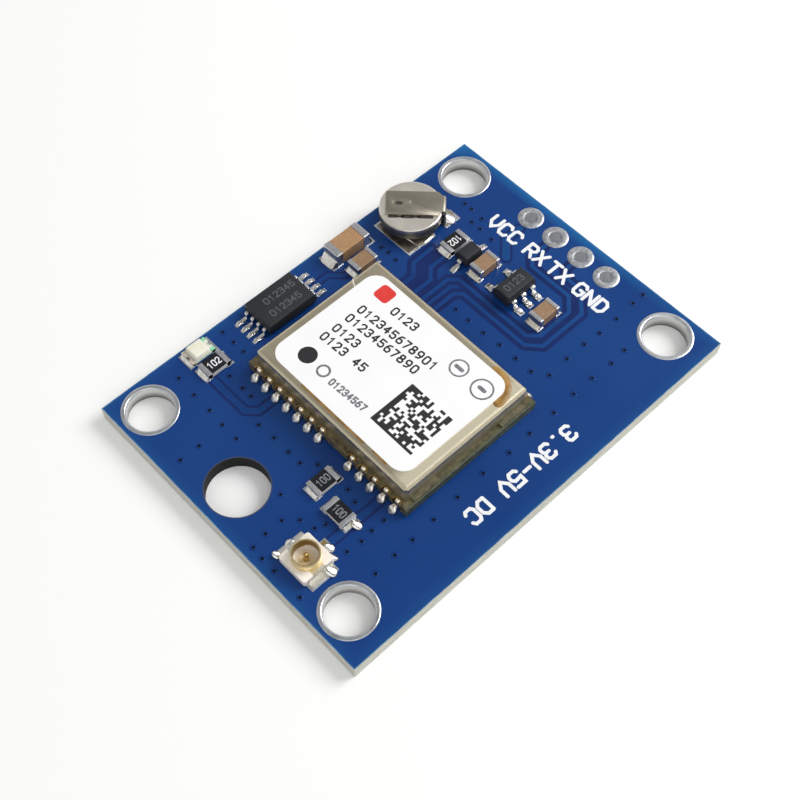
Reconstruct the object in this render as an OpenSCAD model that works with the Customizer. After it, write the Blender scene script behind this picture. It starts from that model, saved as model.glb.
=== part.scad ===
// Satellite positioning receiver board: a two-layer carrier board with a castellated
// receiver module under a shield can, a coin cell, a memory chip, a voltage regulator,
// an antenna socket and four header holes. Millimetres, +Z up, origin at the middle of
// the board's underside, +X towards the header holes.

/* [Board] */
// Length of the board along X
board_l = 35.25; // [34:0.05:60]
// Width of the board along Y
board_w = 25.85; // [25.5:0.05:50]
// Thickness of the board
board_t = 1.2; // [0.8:0.1:2.4]
// Height of the copper pads above the board
pad_t = 0.04; // [0.03:0.01:0.08]

/* [Holes] */
// Bore of the plated mounting holes
mount_hole_d = 3.4; // [2.2:0.1:3.6]
// Width of the tinned ring round a mounting hole
mount_ring_w = 0.35; // [0.2:0.05:0.5]
// Mounting hole centre to each end of the board
mount_hole_end = 2.385; // [2.3:0.005:4]
// Mounting hole centre to the back edge
mount_hole_back = 2.4; // [2.3:0.005:4]
// Mounting hole centre to the front edge
mount_hole_front = 3.13; // [2.3:0.005:5]
// Wall of the plating inside a hole
plating_t = 0.05; // [0.03:0.01:0.1]
// Number of header holes
header_n = 4; // [2:1:5]
// Spacing of the header holes
header_pitch = 2.54; // [2:0.01:2.6]
// Bore of a header hole
header_hole_d = 1.0; // [0.7:0.05:1.1]
// Width of the tinned ring round a header hole
header_ring_w = 0.46; // [0.2:0.02:0.5]
// Middle of the header row from the header end and from the back edge
header_at = [1.585, 12.525]; // [1:0.005:20]
// Bore of the plain locating hole
plain_hole_d = 4.5; // [3:0.1:5]
// Plain hole from the antenna end and from the back edge
plain_hole_at = [2.895, 11.125]; // [2:0.005:20]

/* [Receiver module] */
// Near long edge and back end of the module, from the antenna end and the back edge
module_at = [9.545, 4.475]; // [4:0.005:12]
// Width of the module along X
module_w = 12.2; // [11:0.1:14.7]
// Length of the module along Y
module_l = 16.0; // [15.5:0.1:20]
// Thickness of the module's own board
module_t = 0.8; // [0.6:0.05:1.2]
// Spacing of the edge contacts
edge_pitch = 1.1; // [1:0.01:1.15]
// First edge contact to the end of the module
edge_end = 1.0; // [0.8:0.05:1.4]
// Edge contacts in the back group and in the front group
edge_count = [7, 5]; // [1:1:7]
// Bore of the half holes that form the edge contacts
edge_bore_d = 0.6; // [0.4:0.02:0.74]
// How far up the half holes the solder stands
edge_solder_h = 0.6; // [0.3:0.02:0.7]
// Width of the host pad under an edge contact
edge_pad_w = 0.8; // [0.6:0.02:0.9]
// How far a host pad reaches out from the module
edge_pad_out = 0.68; // [0.4:0.02:0.9]
// Gap between the side wall of the shield can and the edge contacts
can_edge_clear = 0.05; // [0.03:0.01:0.6]
// End wall of the shield can to the end of the module
can_inset_y = 0.5; // [0.45:0.02:1]
// Height of the shield can above the module's board
can_h = 1.6; // [1.5:0.05:3]
// Sheet thickness of the shield can
can_t = 0.15; // [0.1:0.01:0.25]
// Bend radius outside the can
can_r = 0.34; // [0.26:0.02:0.6]
// Length of a soldered foot of the can
can_foot_l = 2.3; // [1:0.1:4]
// Foot to the corner of the can
can_foot_end = 0.45; // [0.4:0.05:2]
// How far a foot reaches out
can_foot_out = 0.36; // [0.1:0.02:0.44]
// Label size along X and Y
label_size = [10.15, 13.4]; // [6:0.05:13.4]
// Label thickness
label_t = 0.08; // [0.05:0.01:0.2]
// Corner radius of the label
label_r = 1.15; // [0.3:0.05:2]

/* [Coin cell] */
// Middle of the cell from the header end and from the back edge
cell_at = [8.255, 2.585]; // [8:0.005:9]
// Diameter of the cell
cell_d = 4.8; // [3.8:0.1:5.8]
// Thickness of the cell
cell_h = 1.4; // [1:0.05:2.2]
// Crimped rim of the wide pole round the sealing ring
cell_rim_w = 0.4; // [0.3:0.05:0.6]
// Wall of the sealing ring between the two poles
cell_seal_w = 0.3; // [0.2:0.05:0.4]
// How far the narrow pole stands out of the rim
cell_rim_h = 0.31; // [0.2:0.01:0.4]
// Sheet thickness of the two tabs
tab_t = 0.12; // [0.08:0.01:0.2]
// Width of the upper tab
top_tab_w = 2.25; // [1.6:0.05:2.6]
// Width of the upper tab at its narrowed end
top_tab_end_w = 1.5; // [1:0.05:1.55]
// Upper tab's far end from the middle of the cell
top_tab_back = 1.89; // [1:0.01:2]
// Upper tab's middle line from the middle of the cell
top_tab_side = 0.2; // [0:0.02:0.3]
// Gap between the cell's side and the drop of the upper tab
top_tab_clear = 0.1; // [0.05:0.01:0.2]
// Length of the upper tab's foot
top_tab_foot = 0.5; // [0.3:0.05:0.8]
// Lower pad along X and Y
cell_pad = [2.75, 3.9]; // [2:0.05:4]
// Width of the lower tab
low_tab_w = 1.75; // [1:0.05:2.2]

/* [Antenna socket] */
// Middle of the socket from the antenna end and from the back edge
socket_at = [2.695, 18.345]; // [2.5:0.005:20]
// Side of the square base
socket_base_w = 2.6; // [2.4:0.05:3]
// Height of the base
socket_base_h = 0.6; // [0.5:0.05:0.8]
// Width of the two earth tabs
socket_tab_w = 2.0; // [1.2:0.05:2.4]
// Outer diameter of the round shell
socket_shell_d = 2.0; // [1.8:0.05:2.2]
// Height of the shell above its pads
socket_h = 1.25; // [1.1:0.05:1.6]
// Wall of the shell
socket_wall = 0.13; // [0.1:0.01:0.2]
// Diameter of the centre contact
socket_pin_d = 0.34; // [0.25:0.01:0.45]

/* [Chips with leads] */
// Memory chip from the antenna end and from the back edge
memory_at = [14.525, 2.075]; // [14:0.005:15]
// Memory chip body along X, along Y and up
memory_size = [4.4, 3.0, 1.0]; // [0.8:0.1:5.2]
// Regulator from the header end and from the back edge
regulator_at = [7.505, 12.625]; // [7:0.005:13]
// Regulator body along X, along Y and up
regulator_size = [2.9, 1.6, 1.1]; // [0.8:0.1:3.4]
// Diode from the header end and from the back edge
diode_at = [7.725, 8.205]; // [7:0.005:9]
// Diode body along X, along Y and up
diode_size = [1.7, 1.25, 0.95]; // [0.7:0.05:2]
// Memory chip leads: width
memory_lead_w = 0.26; // [0.2:0.02:0.4]
// Memory chip leads: spacing
memory_pitch = 0.65; // [0.6:0.01:0.8]
// Memory chip leads: length of the foot
memory_foot = 0.5; // [0.3:0.02:0.7]
// Regulator leads: width
regulator_lead_w = 0.42; // [0.3:0.02:0.6]
// Regulator leads: spacing
regulator_pitch = 0.95; // [0.9:0.01:1.2]
// Regulator leads: length of the foot
regulator_foot = 0.3; // [0.2:0.02:0.5]
// Diode leads: width
diode_lead_w = 0.36; // [0.25:0.02:0.6]
// Diode leads: length of the foot
diode_foot = 0.22; // [0.15:0.01:0.3]
// Sheet thickness of the leads
lead_t = 0.14; // [0.1:0.01:0.18]
// Inside bend radius of the leads
lead_r = 0.08; // [0.05:0.01:0.12]
// Straight part of a lead between the body and its first bend
lead_out = 0.06; // [0.03:0.01:0.3]
// Taper of a moulded body, each side
mould_taper = 0.12; // [0.04:0.01:0.2]

/* [Chips without leads] */
// Bulk capacitor: place and size
bulk_at = [21.545, 1.425]; // [1:0.005:22]
bulk_size = [3.2, 1.6, 1.25]; // [0.5:0.05:3.4]
// Module supply capacitor: place
supply_at = [21.405, 3.325]; // [3:0.005:22]
// Regulator input capacitor: place
input_at = [7.555, 9.655]; // [7:0.005:10]
// Regulator output capacitor: place
output_at = [7.525, 15.605]; // [7:0.005:16]
// Size of the three small capacitors
small_cap_size = [2.0, 1.25, 0.9]; // [0.5:0.05:2.2]
// Light resistor: place
light_resistor_at = [7.845, 2.725]; // [2.5:0.005:8]
// Charging resistor: place
charge_resistor_at = [7.575, 6.595]; // [6:0.005:8]
// Size of the four resistors
resistor_size = [2.0, 1.25, 0.5]; // [0.4:0.05:2.2]
// Antenna supply resistor: place
feed_resistor_at = [7.225, 14.875]; // [7:0.005:15]
// Antenna line resistor: place, turned a quarter turn
line_resistor_at = [6.475, 17.325]; // [6:0.005:18]
// Indicator light: place
light_at = [7.745, 1.055]; // [1:0.005:8]
// Indicator light base along X, along Y and up
light_size = [2.05, 1.35, 0.3]; // [0.25:0.05:2.2]
// Height of the indicator light's lens above its base
light_lens_h = 0.4; // [0.3:0.05:0.8]
// Thickness of the metal on a chip's ends
end_t = 0.04; // [0.02:0.01:0.08]
// Reach of a solder fillet beyond a chip
fillet_run = 0.2; // [0.16:0.02:0.38]
// Reach of a solder fillet beyond the bulk capacitor
bulk_fillet_run = 0.4; // [0.2:0.02:0.5]

/* [Hidden] */
$fn = 48;

// A cut that has to pass clean through a face runs this far beyond it
past = 1;
// Least thickness of a solder fillet at its feather edges
feather = 0.03;

west = -board_l / 2;
east = board_l / 2;
back = board_w / 2;
front = -board_w / 2;
seat = board_t + pad_t;

mount_hole_xy = [
    for (x = [west + mount_hole_end, east - mount_hole_end],
         y = [front + mount_hole_front, back - mount_hole_back]) [x, y]
];
header_xy = [
    for (i = [0 : header_n - 1])
        [east - header_at[0], back - header_at[1] + (i - (header_n - 1) / 2) * header_pitch]
];
plain_hole_xy = [west + plain_hole_at[0], back - plain_hole_at[1]];

// Receiver module, seen from its own middle
module_mid = [west + module_at[0] + module_w / 2, back - module_at[1] - module_l / 2];
module_top = seat + module_t;
edge_y = concat(
    [for (i = [0 : edge_count[0] - 1]) module_l / 2 - edge_end - i * edge_pitch],
    [for (i = [0 : edge_count[1] - 1]) -module_l / 2 + edge_end + i * edge_pitch]
);
edge_ring_d = edge_bore_d + 2 * plating_t + can_edge_clear;
can_inset_x = edge_bore_d / 2 + plating_t + can_edge_clear;
can_l = [module_w - 2 * can_inset_x, module_l - 2 * can_inset_y];

// Coin cell
cell_mid = [east - cell_at[0], back - cell_at[1]];
tab_turn = -45;
cell_bottom = seat + tab_t;
cell_cap_d = cell_d - 2 * (cell_rim_w + cell_seal_w);
cell_edge_r = 0.2;
cell_top_r = 0.1;
tab_bend_r = 0.12;
top_tab_drop = cell_d / 2 + top_tab_clear;
weld_spot_d = 0.36;
weld_spot_deep = 0.04;
weld_spot_x = [-1.2, 0.1];
top_tab_taper = (top_tab_w - top_tab_end_w) / 2;
// Lower pad from the middle of the cell, and how much of it shows beyond its tab
low_pad_off = [-1.095, -0.49];
low_pad_mid = cell_mid + low_pad_off;
low_pad_show = 0.15;
low_tab_l = cell_pad[1] - 2 * low_pad_show;
low_tab_mid = low_pad_mid + [(cell_pad[0] - low_tab_w) / 2, 0];
// Upper tab's pad: its size, and its middle out from the drop and to the side
top_pad = [1.45, 1.15];
top_pad_off = [0.31, 0.106];
top_pad_out = top_tab_drop + top_pad_off[0];
top_pad_mid = cell_mid + [
    top_pad_out * cos(tab_turn) - top_pad_off[1] * sin(tab_turn),
    top_pad_out * sin(tab_turn) + top_pad_off[1] * cos(tab_turn)
];

// Antenna socket
socket_mid = [west + socket_at[0], back - socket_at[1]];
socket_floor = 0.3;
socket_room = 0.01;
socket_tab_t = 0.12;
socket_tab_out = 0.42;
socket_arm_w = 1.0;
socket_groove_r = 0.08;
socket_groove_deep = 0.05;
socket_tail_w = 0.6;
socket_tail_out = 0.5;
socket_pin_h = 1.1;
socket_corner_r = 0.2;
socket_pad_show = 0.15;

// Leads of each chip: width, spacing, how far they reach out of the body, foot length
lead_bends = lead_out + 2 * lead_r + lead_t;
memory_lead = [memory_lead_w, memory_pitch, lead_bends + memory_foot, memory_foot];
regulator_lead = [regulator_lead_w, regulator_pitch, lead_bends + regulator_foot, regulator_foot];
diode_lead = [diode_lead_w, 0, lead_bends + diode_foot, diode_foot];
// How far the solder and the pad run on beyond the tip of a lead
lead_solder_run = 0.32;
// How far a pad shows on each side of a lead, and on each side of a chip
lead_pad_side = 0.03;
chip_pad_side = 0.05;
standoff = 0.08;
// The regulator's leads leave its long sides, so its rows run along X
regulator_side = [regulator_size[1], regulator_size[0], regulator_size[2]];

// Chips without leads: width of the metal bands along the chip
bulk_band = 0.55;
small_band = 0.32;
resistor_band = 0.36;
core_edge_r = 0.06;
fillet_climb = 0.7;
coat_t = 0.03;
light_band = 0.34;
light_notch_d = 0.4;
light_lens_l = light_size[0] - 2 * light_band;
light_lens_taper = 0.1;

// How far off the middle of the can the label was stuck
label_shift = [-0.1, 0.05];

// Parts under the shield can, from the middle of the module: size and place
receiver_chip_size = [6.0, 6.0, 0.85];
receiver_chip_at = [1.2, 1.6];
crystal_size = [2.5, 3.2, 0.7];
crystal_lid_t = 0.12;
lid_inset = 0.15;
lid_r = 0.25;
inner_edge_r = 0.08;
clock_edge_r = 0.2;
crystal_at = [-3.9, 3.9];
clock_size = [3.2, 1.5, 0.9];
clock_at = [1.4, 5.9];
filter_size = [1.4, 1.1, 0.6];
filter_at = [-3.6, -5.0];
amplifier_size = [1.5, 1.0, 0.55];
amplifier_at = [-3.6, -3.2];
inner_chip_size = [1.0, 0.5, 0.5];
inner_chip_band = 0.25;
inner_chip_at = [
    for (row = [0, 1], i = [0 : 3]) [-0.9 + 1.6 * i, -3.0 - 1.1 * row]
];

// Placing

module from_antenna_end(at) {
    translate([west + at[0], back - at[1], board_t]) children();
}

module from_header_end(at) {
    translate([east - at[0], back - at[1], board_t]) children();
}

module on_module(at) {
    translate([module_mid[0] + at[0], module_mid[1] + at[1], module_top]) children();
}

module both_ends() {
    for (turn = [0, 180])
        rotate([0, 0, turn]) children();
}

// Shapes that several pieces share

// A block that stands on z = 0, centred in plan
module block(size) {
    translate([0, 0, size[2] / 2]) cube(size, center = true);
}

// What a rounded corner takes off a square one, corner at the origin
module corner_waste(r) {
    difference() {
        translate([-past, -past]) square(r + past);
        translate([r, r]) circle(r);
        translate([r, -2 * past]) square(r + 4 * past);
        translate([-2 * past, r]) square(r + 4 * past);
    }
}

// Plate outline with round corners
module round_plate(size, r) {
    difference() {
        square(size, center = true);
        for (x = [0, 1], y = [0, 1])
            mirror([x, 0]) mirror([0, y])
                translate([-size[0] / 2, -size[1] / 2]) corner_waste(r);
    }
}

// Side view of a sheet box with a bent upper edge, standing on y = 0
module arch(l, h, r) {
    difference() {
        translate([-l / 2, 0]) square([l, h]);
        for (side = [0, 1])
            mirror([side, 0]) translate([-l / 2, h]) mirror([0, 1]) corner_waste(r);
    }
}

// Block whose upright corners and upper edges are all bent to one radius
module bent_block(size, r) {
    intersection() {
        linear_extrude(size[2]) round_plate([size[0], size[1]], r);
        rotate([90, 0, 0]) linear_extrude(size[1] + 2, center = true) arch(size[0], size[2], r);
        rotate([90, 0, 90]) linear_extrude(size[0] + 2, center = true) arch(size[1], size[2], r);
    }
}

// Side view of a moulded body: tapered up and down from a straight band at mid height
module mould_side(l, h) {
    half = l / 2;
    low = (h - lead_t) / 2;
    high = (h + lead_t) / 2;
    polygon([
        [-half + mould_taper, 0], [half - mould_taper, 0], [half, low], [half, high],
        [half - mould_taper, h], [-half + mould_taper, h], [-half, high], [-half, low]
    ]);
}

module moulded_body(size) {
    translate([0, 0, pad_t + standoff]) intersection() {
        rotate([90, 0, 0]) linear_extrude(size[1], center = true) mould_side(size[0], size[2]);
        rotate([90, 0, 90]) linear_extrude(size[0], center = true) mould_side(size[1], size[2]);
    }
}

// Quarter of a bent strip, centre of the bend at the origin, in the first quadrant
module bend(t, r) {
    intersection() {
        difference() {
            circle(r + t);
            circle(r);
        }
        square(r + t);
    }
}

// Side view of a folded strip: out along a shoulder whose underside is at height h,
// down through two bends, and out along a foot on y = 0
module folded_strip(shoulder, h, foot, t, r) {
    drop_x = shoulder + r;
    foot_x = drop_x + t + r;
    translate([0, h]) square([shoulder, t]);
    translate([shoulder, h - r]) bend(t, r);
    translate([drop_x, t + r]) square([t, h - t - 2 * r]);
    translate([foot_x, t + r]) rotate(180) bend(t, r);
    translate([foot_x, 0]) square([foot, t]);
}

// One gull-wing lead: out of the body at height h, down, and out along the pad
module gull_wing(lead, h) {
    rotate([90, 0, 0]) linear_extrude(lead[0], center = true)
        folded_strip(lead_out, h, lead[3], lead_t, lead_r);
}

// Leads in a row along Y on the +X face of a body; skip leaves out one place
module lead_row(size, lead, count, skip = -1) {
    h = standoff + (size[2] - lead_t) / 2;
    for (i = [0 : count - 1])
        if (i != skip)
            translate([size[0] / 2, (i - (count - 1) / 2) * lead[1], pad_t]) gull_wing(lead, h);
}

// Solder at the tip of each lead in such a row, and the pad beneath it
module lead_row_solder(size, lead, count, skip = -1) {
    for (i = [0 : count - 1])
        if (i != skip)
            translate([size[0] / 2 + lead[2], (i - (count - 1) / 2) * lead[1], pad_t])
                solder_fillet(lead_solder_run, lead_t, lead[0]);
}

module lead_row_pads(size, lead, count, skip = -1) {
    pad_l = lead[3] + lead_solder_run + 2 * feather;
    for (i = [0 : count - 1])
        if (i != skip)
            translate([size[0] / 2 + lead[2] - lead[3] + pad_l / 2,
                       (i - (count - 1) / 2) * lead[1], 0])
                block([pad_l, lead[0] + 2 * lead_pad_side, pad_t]);
}

// Hollow solder fillet against a wall at x = 0, on a pad at z = 0. Its arc lies flat at the
// outer edge, one feather thick, and meets the wall at the rise, one feather out from it.
module solder_fillet(run, rise, width) {
    climb = rise - feather;
    arc_r = (pow(run - feather, 2) + pow(climb, 2)) / (2 * climb);
    rotate([90, 0, 0]) linear_extrude(width, center = true) difference() {
        square([run, rise]);
        translate([run, feather + arc_r]) circle(arc_r);
    }
}

// Layered chip: a fired block with worn edges, and metal caps over both its ends
module cap_core(size) {
    translate([0, 0, pad_t + end_t])
        bent_block([size[0] - 2 * end_t, size[1] - 2 * end_t, size[2] - 2 * end_t], core_edge_r);
}

module cap_body(size) {
    color("peru") cap_core(size);
}

module cap_ends(size, band) {
    color("silver") difference() {
        translate([0, 0, pad_t]) bent_block(size, core_edge_r + end_t);
        cap_core(size);
        translate([0, 0, -past])
            block([size[0] - 2 * band, size[1] + past, size[2] + 3 * past]);
    }
}

// Film resistor: a ceramic plate, a dark coat on top and a metal clip round each end
module resistor_core(size) {
    color("whitesmoke") translate([0, 0, pad_t + end_t])
        block([size[0] - 2 * end_t, size[1], size[2] - 2 * end_t]);
}

module resistor_coat(size) {
    color("black") translate([0, 0, pad_t + size[2] - end_t])
        block([size[0] - 2 * resistor_band, size[1], coat_t]);
}

module resistor_ends(size) {
    color("silver") both_ends() difference() {
        translate([size[0] / 2 - resistor_band / 2, 0, pad_t])
            block([resistor_band, size[1], size[2]]);
        translate([0, 0, pad_t + end_t])
            block([size[0] - 2 * end_t, size[1] + past, size[2] - 2 * end_t]);
    }
}

// The two pads of a chip and the solder on them
module chip_pads(size, band, run = fillet_run) {
    pad_l = band + run + 2 * feather;
    both_ends() translate([size[0] / 2 - band + pad_l / 2, 0, 0])
        block([pad_l, size[1] + 2 * chip_pad_side, pad_t]);
}

module chip_fillets(size, run = fillet_run) {
    rise = min(run, fillet_climb * size[2]);
    both_ends() translate([size[0] / 2, 0, pad_t]) solder_fillet(run, rise, size[1]);
}

// Carrier board

module circuit_board() {
    color([0.12, 0.27, 0.52]) difference() {
        translate([0, 0, board_t / 2]) cube([board_l, board_w, board_t], center = true);
        for (p = mount_hole_xy) {
            translate([p[0], p[1], -past])
                cylinder(d = mount_hole_d + 2 * plating_t, h = board_t + 2 * past);
            flush_ring_space(p, mount_hole_d, mount_ring_w);
        }
        for (p = header_xy) {
            translate([p[0], p[1], -past])
                cylinder(d = header_hole_d, h = board_t + 2 * past);
            flush_ring_space(p, header_hole_d, header_ring_w);
        }
        translate([plain_hole_xy[0], plain_hole_xy[1], -past])
            cylinder(d = plain_hole_d, h = board_t + 2 * past);
    }
}

// Room for the lower ring of a plated hole, which lies flush with the underside
module flush_ring_space(p, bore, ring_w) {
    translate([p[0], p[1], -past])
        cylinder(d = bore + 2 * ring_w, h = past + pad_t);
}

// Barrel of a mounting hole with its upper and lower rings, turned as one profile
module mounting_hole_plating() {
    color("silver") for (p = mount_hole_xy)
        translate(p) rotate_extrude() difference() {
            translate([mount_hole_d / 2, 0]) square([mount_ring_w, seat]);
            translate([mount_hole_d / 2 + plating_t, pad_t])
                square([mount_ring_w, board_t - pad_t]);
        }
}

// Upper and lower rings of a header hole; the film inside so small a hole is left with the board
module header_hole_plating() {
    color("silver") for (p = header_xy, z = [0, board_t])
        translate([p[0], p[1], z]) linear_extrude(pad_t) difference() {
            circle(header_hole_d / 2 + header_ring_w);
            circle(header_hole_d / 2);
        }
}

module surface_pads() {
    color("lightgrey") {
        on_board_edge_contacts() edge_pad();
        translate([low_pad_mid[0], low_pad_mid[1], board_t])
            block([cell_pad[0], cell_pad[1], pad_t]);
        translate([top_pad_mid[0], top_pad_mid[1], board_t])
            block([top_pad[0], top_pad[1], pad_t]);
        from_antenna_end(socket_at) socket_pads();
        from_antenna_end(memory_at) both_ends() lead_row_pads(memory_size, memory_lead, 4);
        from_header_end(regulator_at) regulator_turn() {
            lead_row_pads(regulator_side, regulator_lead, 3);
            rotate(180) lead_row_pads(regulator_side, regulator_lead, 3, 1);
        }
        from_header_end(diode_at) both_ends() lead_row_pads(diode_size, diode_lead, 1);
        from_antenna_end(bulk_at) chip_pads(bulk_size, bulk_band, bulk_fillet_run);
        from_antenna_end(supply_at) chip_pads(small_cap_size, small_band);
        from_header_end(input_at) chip_pads(small_cap_size, small_band);
        from_header_end(output_at) chip_pads(small_cap_size, small_band);
        from_antenna_end(light_resistor_at) chip_pads(resistor_size, resistor_band);
        from_header_end(charge_resistor_at) chip_pads(resistor_size, resistor_band);
        from_antenna_end(feed_resistor_at) chip_pads(resistor_size, resistor_band);
        from_antenna_end(line_resistor_at) rotate(90) chip_pads(resistor_size, resistor_band);
        from_antenna_end(light_at) chip_pads(light_size, light_band);
    }
}

// Receiver module

// Puts its child at each edge contact, +X pointing out of the module, z = 0 on the board
module on_board_edge_contacts() {
    translate([module_mid[0], module_mid[1], board_t]) for (side = [0, 1], y = edge_y)
        mirror([side, 0, 0]) translate([module_w / 2, y, 0]) children();
}

module edge_pad() {
    pad_in = edge_bore_d + plating_t;
    translate([(edge_pad_out - pad_in) / 2, 0, 0])
        block([edge_pad_out + pad_in, edge_pad_w, pad_t]);
}

module module_board() {
    color("darkgreen") difference() {
        translate([module_mid[0], module_mid[1], seat]) block([module_w, module_l, module_t]);
        on_board_edge_contacts() translate([0, 0, -past])
            cylinder(d = edge_bore_d + 2 * plating_t, h = module_t + 3 * past);
    }
}

// Half barrel of an edge contact with a half ring on the module's upper face
module edge_contact() {
    translate([0, 0, pad_t]) intersection() {
        difference() {
            union() {
                cylinder(d = edge_bore_d + 2 * plating_t, h = module_t + pad_t);
                translate([0, 0, module_t])
                    cylinder(d = edge_ring_d, h = pad_t);
            }
            translate([0, 0, -past])
                cylinder(d = edge_bore_d, h = module_t + 3 * past);
        }
        translate([-edge_bore_d, -edge_bore_d, 0])
            cube([edge_bore_d, 2 * edge_bore_d, module_t + pad_t]);
    }
}

module module_edge_contacts() {
    color("goldenrod") on_board_edge_contacts() edge_contact();
}

// Solder that fills the foot of the half hole and runs out along the pad
module edge_solder() {
    run = edge_pad_out - 2 * feather;
    rise = min(run, edge_solder_h);
    translate([0, 0, pad_t]) {
        intersection() {
            cylinder(d = edge_bore_d, h = rise);
            translate([-edge_bore_d, -edge_bore_d, 0])
                cube([edge_bore_d, 2 * edge_bore_d, rise]);
        }
        solder_fillet(run, rise, edge_bore_d);
    }
}

module module_solder() {
    color("gainsboro") on_board_edge_contacts() edge_solder();
}

// Drawn sheet box, open below, with two soldered feet on each end wall
module shield_can() {
    inner = [can_l[0] - 2 * can_t, can_l[1] - 2 * can_t, can_h - can_t + past];
    foot_x = can_l[0] / 2 - can_foot_end - can_foot_l / 2;
    color([0.72, 0.68, 0.58]) on_module([0, 0]) {
        difference() {
            bent_block([can_l[0], can_l[1], can_h], can_r);
            translate([0, 0, -past]) bent_block(inner, can_r - can_t);
        }
        for (x = [-foot_x, foot_x])
            both_ends() translate([x, can_l[1] / 2 + can_foot_out / 2, 0])
                block([can_foot_l, can_foot_out, can_t]);
    }
}

module module_label() {
    color("white") on_module(label_shift) translate([0, 0, can_h])
        linear_extrude(label_t) round_plate(label_size, label_r);
}

module receiver_chip() {
    color("dimgray") on_module(receiver_chip_at) bent_block(receiver_chip_size, inner_edge_r);
}

module reference_crystal() {
    color("linen") on_module(crystal_at)
        block([crystal_size[0], crystal_size[1], crystal_size[2] - crystal_lid_t]);
}

module crystal_lid() {
    color("silver") on_module(crystal_at)
        translate([0, 0, crystal_size[2] - crystal_lid_t]) linear_extrude(crystal_lid_t)
            round_plate([crystal_size[0] - 2 * lid_inset, crystal_size[1] - 2 * lid_inset], lid_r);
}

module clock_crystal() {
    color("silver") on_module(clock_at) bent_block(clock_size, clock_edge_r);
}

module antenna_filter() {
    color("khaki") on_module(filter_at) bent_block(filter_size, inner_edge_r);
}

module low_noise_amplifier() {
    color("dimgray") on_module(amplifier_at) bent_block(amplifier_size, inner_edge_r);
}

module module_chip_bodies() {
    for (at = inner_chip_at)
        on_module(at) translate([0, 0, -pad_t]) cap_body(inner_chip_size);
}

module module_chip_ends() {
    for (at = inner_chip_at)
        on_module(at) translate([0, 0, -pad_t]) cap_ends(inner_chip_size, inner_chip_band);
}

// Coin cell: the wide pole faces up, the narrow pole stands on the lower tab

module on_cell() {
    translate([cell_mid[0], cell_mid[1], cell_bottom]) children();
}

module cell_can() {
    recess_r = cell_cap_d / 2 + cell_seal_w;
    color("lightsteelblue") on_cell() rotate_extrude() difference() {
        translate([0, cell_rim_h]) square([cell_d / 2, cell_h - cell_rim_h]);
        translate([cell_d / 2, cell_h]) rotate(180) corner_waste(cell_top_r);
        translate([cell_d / 2, cell_rim_h]) rotate(90) corner_waste(1.2 * cell_edge_r);
        square([recess_r, cell_rim_h + cell_edge_r]);
    }
}

module cell_seal() {
    color("dimgray") on_cell() rotate_extrude()
        translate([cell_cap_d / 2, cell_rim_h - cell_edge_r / 2])
            square([cell_seal_w, 1.5 * cell_edge_r]);
}

module cell_cap() {
    color("silver") on_cell() rotate_extrude() difference() {
        square([cell_cap_d / 2, cell_rim_h + cell_edge_r]);
        translate([cell_cap_d / 2, 0]) rotate(90) corner_waste(0.8 * cell_edge_r);
    }
}

// Plan of the upper tab: a plate that narrows to a strip, and a narrower foot
module top_tab_plan() {
    strip_end = top_tab_drop + tab_t + tab_bend_r;
    polygon([
        [-top_tab_back, -top_tab_w / 2],
        [top_tab_drop - tab_bend_r - top_tab_taper, -top_tab_w / 2],
        [top_tab_drop - tab_bend_r, -top_tab_end_w / 2],
        [strip_end, -top_tab_end_w / 2],
        [strip_end + top_tab_foot, -top_tab_end_w / 4],
        [strip_end + top_tab_foot, top_tab_end_w / 4],
        [strip_end, top_tab_end_w / 2],
        [top_tab_drop - tab_bend_r, top_tab_end_w / 2],
        [top_tab_drop - tab_bend_r - top_tab_taper, top_tab_w / 2],
        [-top_tab_back, top_tab_w / 2]
    ]);
}

// Plate welded to the top of the cell, folded down past its side to a foot on the pad
module cell_top_tab() {
    under = tab_t + cell_h;
    color("darkkhaki") translate([cell_mid[0], cell_mid[1], seat])
        rotate(tab_turn) translate([0, top_tab_side, 0]) difference() {
            intersection() {
                linear_extrude(under + tab_t + past) top_tab_plan();
                rotate([90, 0, 0]) linear_extrude(top_tab_w + past, center = true)
                    translate([-top_tab_back, 0])
                        folded_strip(top_tab_back + top_tab_drop - tab_bend_r, under,
                                     top_tab_foot, tab_t, tab_bend_r);
            }
            for (x = weld_spot_x)
                translate([x, 0, under + tab_t - weld_spot_deep])
                    cylinder(d = weld_spot_d, h = past);
        }
}

module cell_bottom_tab() {
    color("silver") translate([low_tab_mid[0], low_tab_mid[1], seat])
        block([low_tab_w, low_tab_l, tab_t]);
}

// Antenna socket

module socket_pads() {
    both_ends() translate([0, socket_base_w / 2 + socket_tab_out / 2, 0])
        block([socket_tab_w + 2 * socket_pad_show, socket_tab_out + 2 * socket_pad_show, pad_t]);
    translate([socket_base_w / 2 + socket_tail_out / 2, 0, 0])
        block([socket_tail_out + 2 * socket_pad_show, socket_tail_w + 2 * socket_pad_show, pad_t]);
}

// Square moulded base with room for the shell's arms and the contact's tail
module socket_base() {
    color("antiquewhite") from_antenna_end(socket_at) translate([0, 0, pad_t]) difference() {
        linear_extrude(socket_base_h) round_plate([socket_base_w, socket_base_w], socket_corner_r);
        translate([0, 0, socket_floor])
            cylinder(r = socket_shell_d / 2 - socket_wall, h = socket_base_h);
        translate([0, 0, socket_base_h - socket_tab_t])
            block([socket_arm_w, socket_base_w + past, socket_base_h]);
        translate([0, -socket_tail_w / 2, -past])
            cube([socket_base_w, socket_tail_w, past + socket_tab_t]);
        translate([0, 0, -past])
            cylinder(d = socket_pin_d + 2 * socket_room, h = socket_floor + 2 * past);
    }
}

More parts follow.
